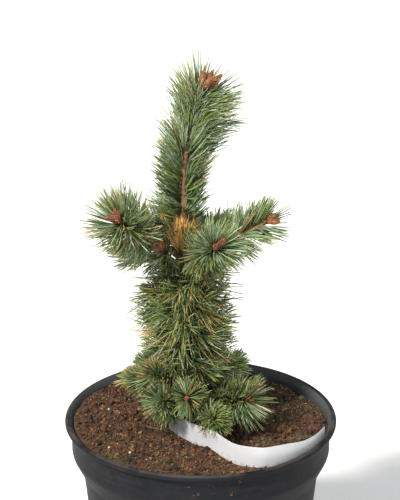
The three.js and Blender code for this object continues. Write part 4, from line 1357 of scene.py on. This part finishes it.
def column_bundles(random, heap, sheaths, twigs):
    """The wide, untidy column below the whorl, with short side twigs in it"""
    low, high = SLEEVES["column"]

    def everywhere(height, out, draw):
        return draw >= 0

    def lean_at(share, out):
        return 46 * share ** 0.85 - 42

    def share_of(share, out, draw):
        """On the left, tufts of long needles with shorter ones between them"""
        tuft = eased(np.cos(2 * math.pi * (low + (high - low) * share - 58) / 21), -0.2, 0.6)
        return 1 - np.clip(-1.5 * out[:, 0], 0, 1) * (0.36 - 0.42 * tuft) * (draw < 0.9)

    parts = [sleeve_bundles("column", random, density=2.6, long=43.5, lean_at=lean_at, jitter=84,
                            keep=everywhere, share_of=share_of, uneven=0.5)]
    heights = np.linspace(low, high + 8, 60)
    count = 40
    places = [(k / count, GOLDEN_TURN * k + random.normal(0, 0.2)) for k in range(count)]
    for twig in side_twigs(trunk_at(heights), trunk_radius(heights), places, lean=4, long=17):
        twigs.add(*tube(twig, np.linspace(1.1, 0.8, len(twig)), 8))
        share = np.concatenate([random.random(9) ** 0.7, np.ones(5)])
        on_left = twig[-1][0] < twig[0][0] - 7 and random.random() < 0.65
        parts.append(bundles_along(twig, share, random, long=21 if on_left else 28, spread=(80, 48),
                                   owner="trunk", tier="column", radius=0.6))
    column = joined(parts)
    out = column["root"] + column["direction"] * 20 - trunk_at(column["height"])
    out = unit(out * np.array([1, 1, 0]))
    low_left = eased(-out[:, 0], 0.2, 0.9) * (1 - eased(column["height"], 60, 105))
    dry = np.maximum(eased(out[:, 0], 0.1, 0.9), low_left)
    foot = 1 - eased(column["height"], 48, 72)
    weights = {
        "deep": 0.3 - 0.12 * dry, "mid": 0.3 - 0.08 * dry, "grey": 0.08, "olive": 0.14 + 0.16 * dry,
        "spring": 0.14, "golden": 0.01 + 0.09 * dry + 0.07 * foot, "tan": 0.01 + 0.03 * dry + 0.06 * foot,
        "brown": 0.03 + 0.04 * low_left + 0.18 * foot, "bluish": 0.04,
    }
    tint = dealt(random, column, weights)
    add_needles(heap, sheaths, column, tint, random, curl=(-0.08, 0.12), splay=(9, 28), width=0.92,
                stray=0.5)


# Shares of the tints on the shoots, and what differs on some of them
SHOOT_TINTS = {
    "mid": 0.32, "grey": 0.23, "pale": 0.12, "deep": 0.16, "spring": 0.08, "tan": 0.03, "olive": 0.06,
}
LOW_TINTS = {"mid": 0.36, "deep": 0.14, "grey": 0.2, "pale": 0.09, "spring": 0.1, "olive": 0.12}
OWN_TINTS = {
    "lower_left_bough": {"bluish": 0.34, "pale": 0.24, "deep": 0.16, "spring": 0.0},
    "left_bough": {"pale": 0.24, "tan": 0.1},
    # Painted light: paler tints with less deep green on the right bough, whose back needles lie in shade
    "right_bough": {"pale": 0.2, "spring": 0.2, "deep": 0.08},
    "front_bough": {"pale": 0.09, "grey": 0.19, "olive": 0.12},
    # Painted light: pale and spring tints with almost no deep green, for needles that lie in shade
    "back_right_bough": {"pale": 0.3, "spring": 0.4, "deep": 0.02},
    "low_left_bough": {"golden": 0.08, "brown": 0.14, "tan": 0.1},
    "left_spur": {"golden": 0.08, "brown": 0.14, "tan": 0.1},
    "low_front_right_bough": {"spring": 0.5},
    # Painted light on the right spur and the low back right bough, as on the back right bough
    "right_spur": {"pale": 0.3, "spring": 0.4, "deep": 0.02},
    "low_back_right_bough": {"pale": 0.3, "spring": 0.4, "deep": 0.02},
}


def shoot_tints(name, bundles):
    """Weights of the tints. Low shoots are drier near the trunk. Boughs of the whorl get painted shade,
    deeper and less pale tints where needles point down, but for the one at the back right, which is painted
    bright all through as if lit"""
    weights = dict(SHOOT_TINTS)
    if name in LOW:
        away = np.linalg.norm((bundles["root"] - trunk_at(bundles["height"]))[:, :2], axis=1)
        inner = 1 - eased(away, 14, 32)
        weights.update(LOW_TINTS, tan=0.05 + 0.12 * inner, brown=0.06 + 0.22 * inner, golden=0.16 * inner)
    weights.update(OWN_TINTS.get(name, {}))
    if name in WHORL and name != "back_right_bough":
        # Painted shade: needles that point down are dealt deeper and less pale tints
        below = np.clip(-1.5 * bundles["direction"][:, 2], 0, 1)
        weights.update(deep=weights["deep"] + 0.3 * below, pale=weights["pale"] * (1 - 0.7 * below))
    return weights


# Bundles to a millimetre of twig, on the whorl's boughs, on the low ones and on a thin one
CROWDING = {"whorl": 2.9, "low": 3.2, "lower_left_bough": 2.2}

# One dry bundle that hangs below the low left bough
DRY_BUNDLE = {
    "root": [-50, -1, 222], "direction": [-0.84, 0.12, -0.52], "length": 30, "inward": [0, 0, 1],
    "out": [-1, 0, 0], "height": 40,
}


def shoot_bundles(name, random, heap, sheaths, twigs):
    """The needles of one shoot, with side twigs on the low ones"""
    line, shoot = twig_lines[name], SHOOTS[name]
    spread = (72, 36) if name == "right_bough" else (74, 40)
    _, length = evenly(line, 10)
    long = shoot.needles * NEEDLE_LENGTH.get(name, 1)
    count = int(length * CROWDING.get(name, CROWDING["low" if name in LOW else "whorl"]))
    towards_tip = 0.8 if shoot.buds else 0.9 if name == "back_left_bough" else 0.5
    share = ((np.arange(count) + random.random(count)) / count) ** towards_tip
    if not shoot.buds:
        share = np.concatenate([share, np.ones(int(count * 0.15))])

    def stem_shows(share, out, draw):
        """Fewer needles on the viewer's side of the right bough, whose brown twig and buds show"""
        return (draw > 0.76 + 0.2 * (share > 0.7)) | (out[:, 1] > -0.35)

    def thin_below(share, out, draw):
        return (draw > 0.6) | (out[:, 2] > -0.25)

    keep = {"right_bough": stem_shows, "lower_left_bough": thin_below}.get(name)
    parts = [bundles_along(line, share, random, long, spread, name, keep=keep,
                           hang=HANG.get(name, 0), stand=STAND.get(name, 0))]
    if name in LOW:
        places = [(random.uniform(0.1, 0.6), random.uniform(0, 2 * math.pi)) for _ in range(3)]
        for twig in side_twigs(line, np.full(len(line), 1.6), places, lean=40, long=9):
            twigs.add(*tube(twig, np.linspace(1.0, 0.7, len(twig)), 8))
            share = np.concatenate([random.random(7) ** 0.7, np.ones(5)])
            parts.append(bundles_along(twig, share, random, long * 0.72, (76, 44), name, radius=0.6))
    if name == "low_left_bough":
        dry = {key: np.array([value], float) for key, value in DRY_BUNDLE.items()}
        dry["direction"] = unit(dry["direction"])
        tan = np.array([TINT_NAMES.index("tan")])
        add_needles(heap, sheaths, dry, tan, random, curl=(0, 0.05), splay=(1, 4), width=1.0)
    bundles = joined(parts)
    tint = dealt(random, bundles, shoot_tints(name, bundles))
    add_needles(heap, sheaths, bundles, tint, random, curl=(0, 0.12),
                splay=(7, 20) if name in LOW else (6, 17), width=0.84,
                dry_tips=0.4 if name == "left_bough" else 0.1, stray=0.3)


def make_needles():
    """All bundles in four pieces, drawn mass by mass, with their sheaths and side twigs"""
    random = np.random.default_rng(SEEDS["needles"])
    sheaths, side = Heap(), Heap()
    heaps = {name: Heap() for name in ("leader", "column", "whorl", "low")}
    leader_bundles(random, heaps["leader"], sheaths)
    column_bundles(random, heaps["column"], sheaths, side)
    for name in SHOOTS:
        shoot_bundles(name, random, heaps["whorl" if name in WHORL else "low"], sheaths, side)
    masses = {"leader": ["leader_needles"], "column": ["column_needles"],
              "whorl": [f"{name}_needles" for name in WHORL], "low": [f"{name}_needles" for name in LOW]}
    for name, heap in heaps.items():
        heap.piece(f"{name}_bundles", NEEDLE_FINISHES, "needles", masses[name])
    everything = [node for nodes in masses.values() for node in nodes]
    codes = {"light": "8f7048", "dark": "5f4630"}
    finishes = [grainy(f"sheath_{name}", code, 0.8, 900, 0.0001) for name, code in codes.items()]
    sheaths.piece("bundle_sheaths", finishes, "bark", everything, smooth=False)
    side.piece("side_twigs", [bark("side_twig_bark", "4a3524", "745a3c", "957851")], "bark", everything)


def make_fallen_needles():
    """Dry needles that lie on the mix, slightly bowed. The first one is at the place where it shows"""
    random = np.random.default_rng(SEEDS["fallen_needles"])
    x, y = scatter(random, STREWN["fallen_needles"], 20, 92)
    heading = random.uniform(0, 2 * math.pi, len(x))
    long = random.uniform(20, 32, len(x))
    x[0], y[0], heading[0], long[0] = -70, 22, 0.5, 22
    starts = np.stack([x, y], axis=-1)
    ways = np.stack([np.cos(heading), np.sin(heading)], axis=-1)
    kept = np.linalg.norm(starts + ways * long[:, None], axis=1) < 101
    codes = {"dry": "7a5b3b", "old": "5f452f"}
    s = np.linspace(0, 1, 7)
    heap = Heap()
    for k, (start, way, length) in enumerate(zip(starts[kept], ways[kept], long[kept])):
        bow = length * random.uniform(-0.09, 0.09) * np.sin(math.pi * s)
        px, py = (start + way * length * s[:, None] + np.array([-way[1], way[0]]) * bow[:, None]).T
        ground = mix_relief(px, py)
        lie = np.interp(s, [0, 1], [ground[0] + 0.6, ground[-1] + 0.8]) + 0.8
        z = np.maximum(lie, ground + 0.4)
        widths = np.interp(s, [0, 0.8, 1], [0.38, 0.35, 0.08])
        heap.add(*tube(np.stack([px, py, z], axis=-1), widths, 4), k % len(codes))
    finishes = [grainy(f"{name}_needle", code, 0.75, 500, 0.0001, 0.6) for name, code in codes.items()]
    heap.piece("fallen_needles", finishes, "needles", [])


# The floor, the light and the camera, in metres and watts
FLOOR_HALF = 12.0
SKY_COLOR = (0.96, 0.975, 1.0, 1)
SKY_STRENGTH = 0.68
LIGHT_AIM = (0, 0, 0.28)
CAMERA_PLACE = (-0.0006, -1.316, 0.816)
CAMERA_DIP = 20.3
LENS = 126.7


def make_stage():
    mesh = bpy.data.meshes.new("floor")
    corners = [(x * FLOOR_HALF, y * FLOOR_HALF, 0) for x, y in ((-1, -1), (1, -1), (1, 1), (-1, 1))]
    mesh.from_pydata(corners, [], [(0, 1, 2, 3)])
    mesh.materials.append(plain("pale_floor", "f0f0ee", 0.9))
    floor = bpy.data.objects.new("floor", mesh)
    bpy.context.scene.collection.objects.link(floor)
    world = bpy.data.worlds.new("studio")
    world.use_nodes = True
    sky = world.node_tree.nodes["Background"].inputs
    sky["Color"].default_value = SKY_COLOR
    sky["Strength"].default_value = SKY_STRENGTH
    bpy.context.scene.world = world
    add_light("key_light", (-5.6, -6.2, 8.6), size=1.9, watts=2350, color=(1.0, 0.965, 0.9))
    add_light("fill_light", (1.6, -1.3, 1.1), size=1.4, watts=8, color=(0.92, 0.96, 1.0))


def add_light(name, where, size, watts, color):
    """A round lamp turned to the plant"""
    data = bpy.data.lights.new(name, "AREA")
    data.shape = "DISK"
    data.size = size
    data.energy = watts
    data.color = color
    made = bpy.data.objects.new(name, data)
    made.location = where
    aim = Vector(np.array(LIGHT_AIM) - np.array(where))
    made.rotation_euler = aim.to_track_quat("-Z", "Y").to_euler()
    bpy.context.scene.collection.objects.link(made)


def make_camera():
    """A long lens in front of the plant, which looks down on it as in the photo"""
    data = bpy.data.cameras.new("camera")
    data.sensor_width = 36
    data.lens = LENS
    data.clip_end = 50
    camera = bpy.data.objects.new("camera", data)
    camera.location = CAMERA_PLACE
    camera.rotation_euler = (math.radians(90 - CAMERA_DIP), 0, 0)
    bpy.context.scene.collection.objects.link(camera)
    bpy.context.scene.camera = camera
    bpy.context.scene.view_settings.view_transform = "Standard"


make_pot()
make_mix()
make_loose_bits()
make_label()
make_trunk()
make_boughs()
make_buds()
make_needles()
make_fallen_needles()
make_stage()
make_camera()
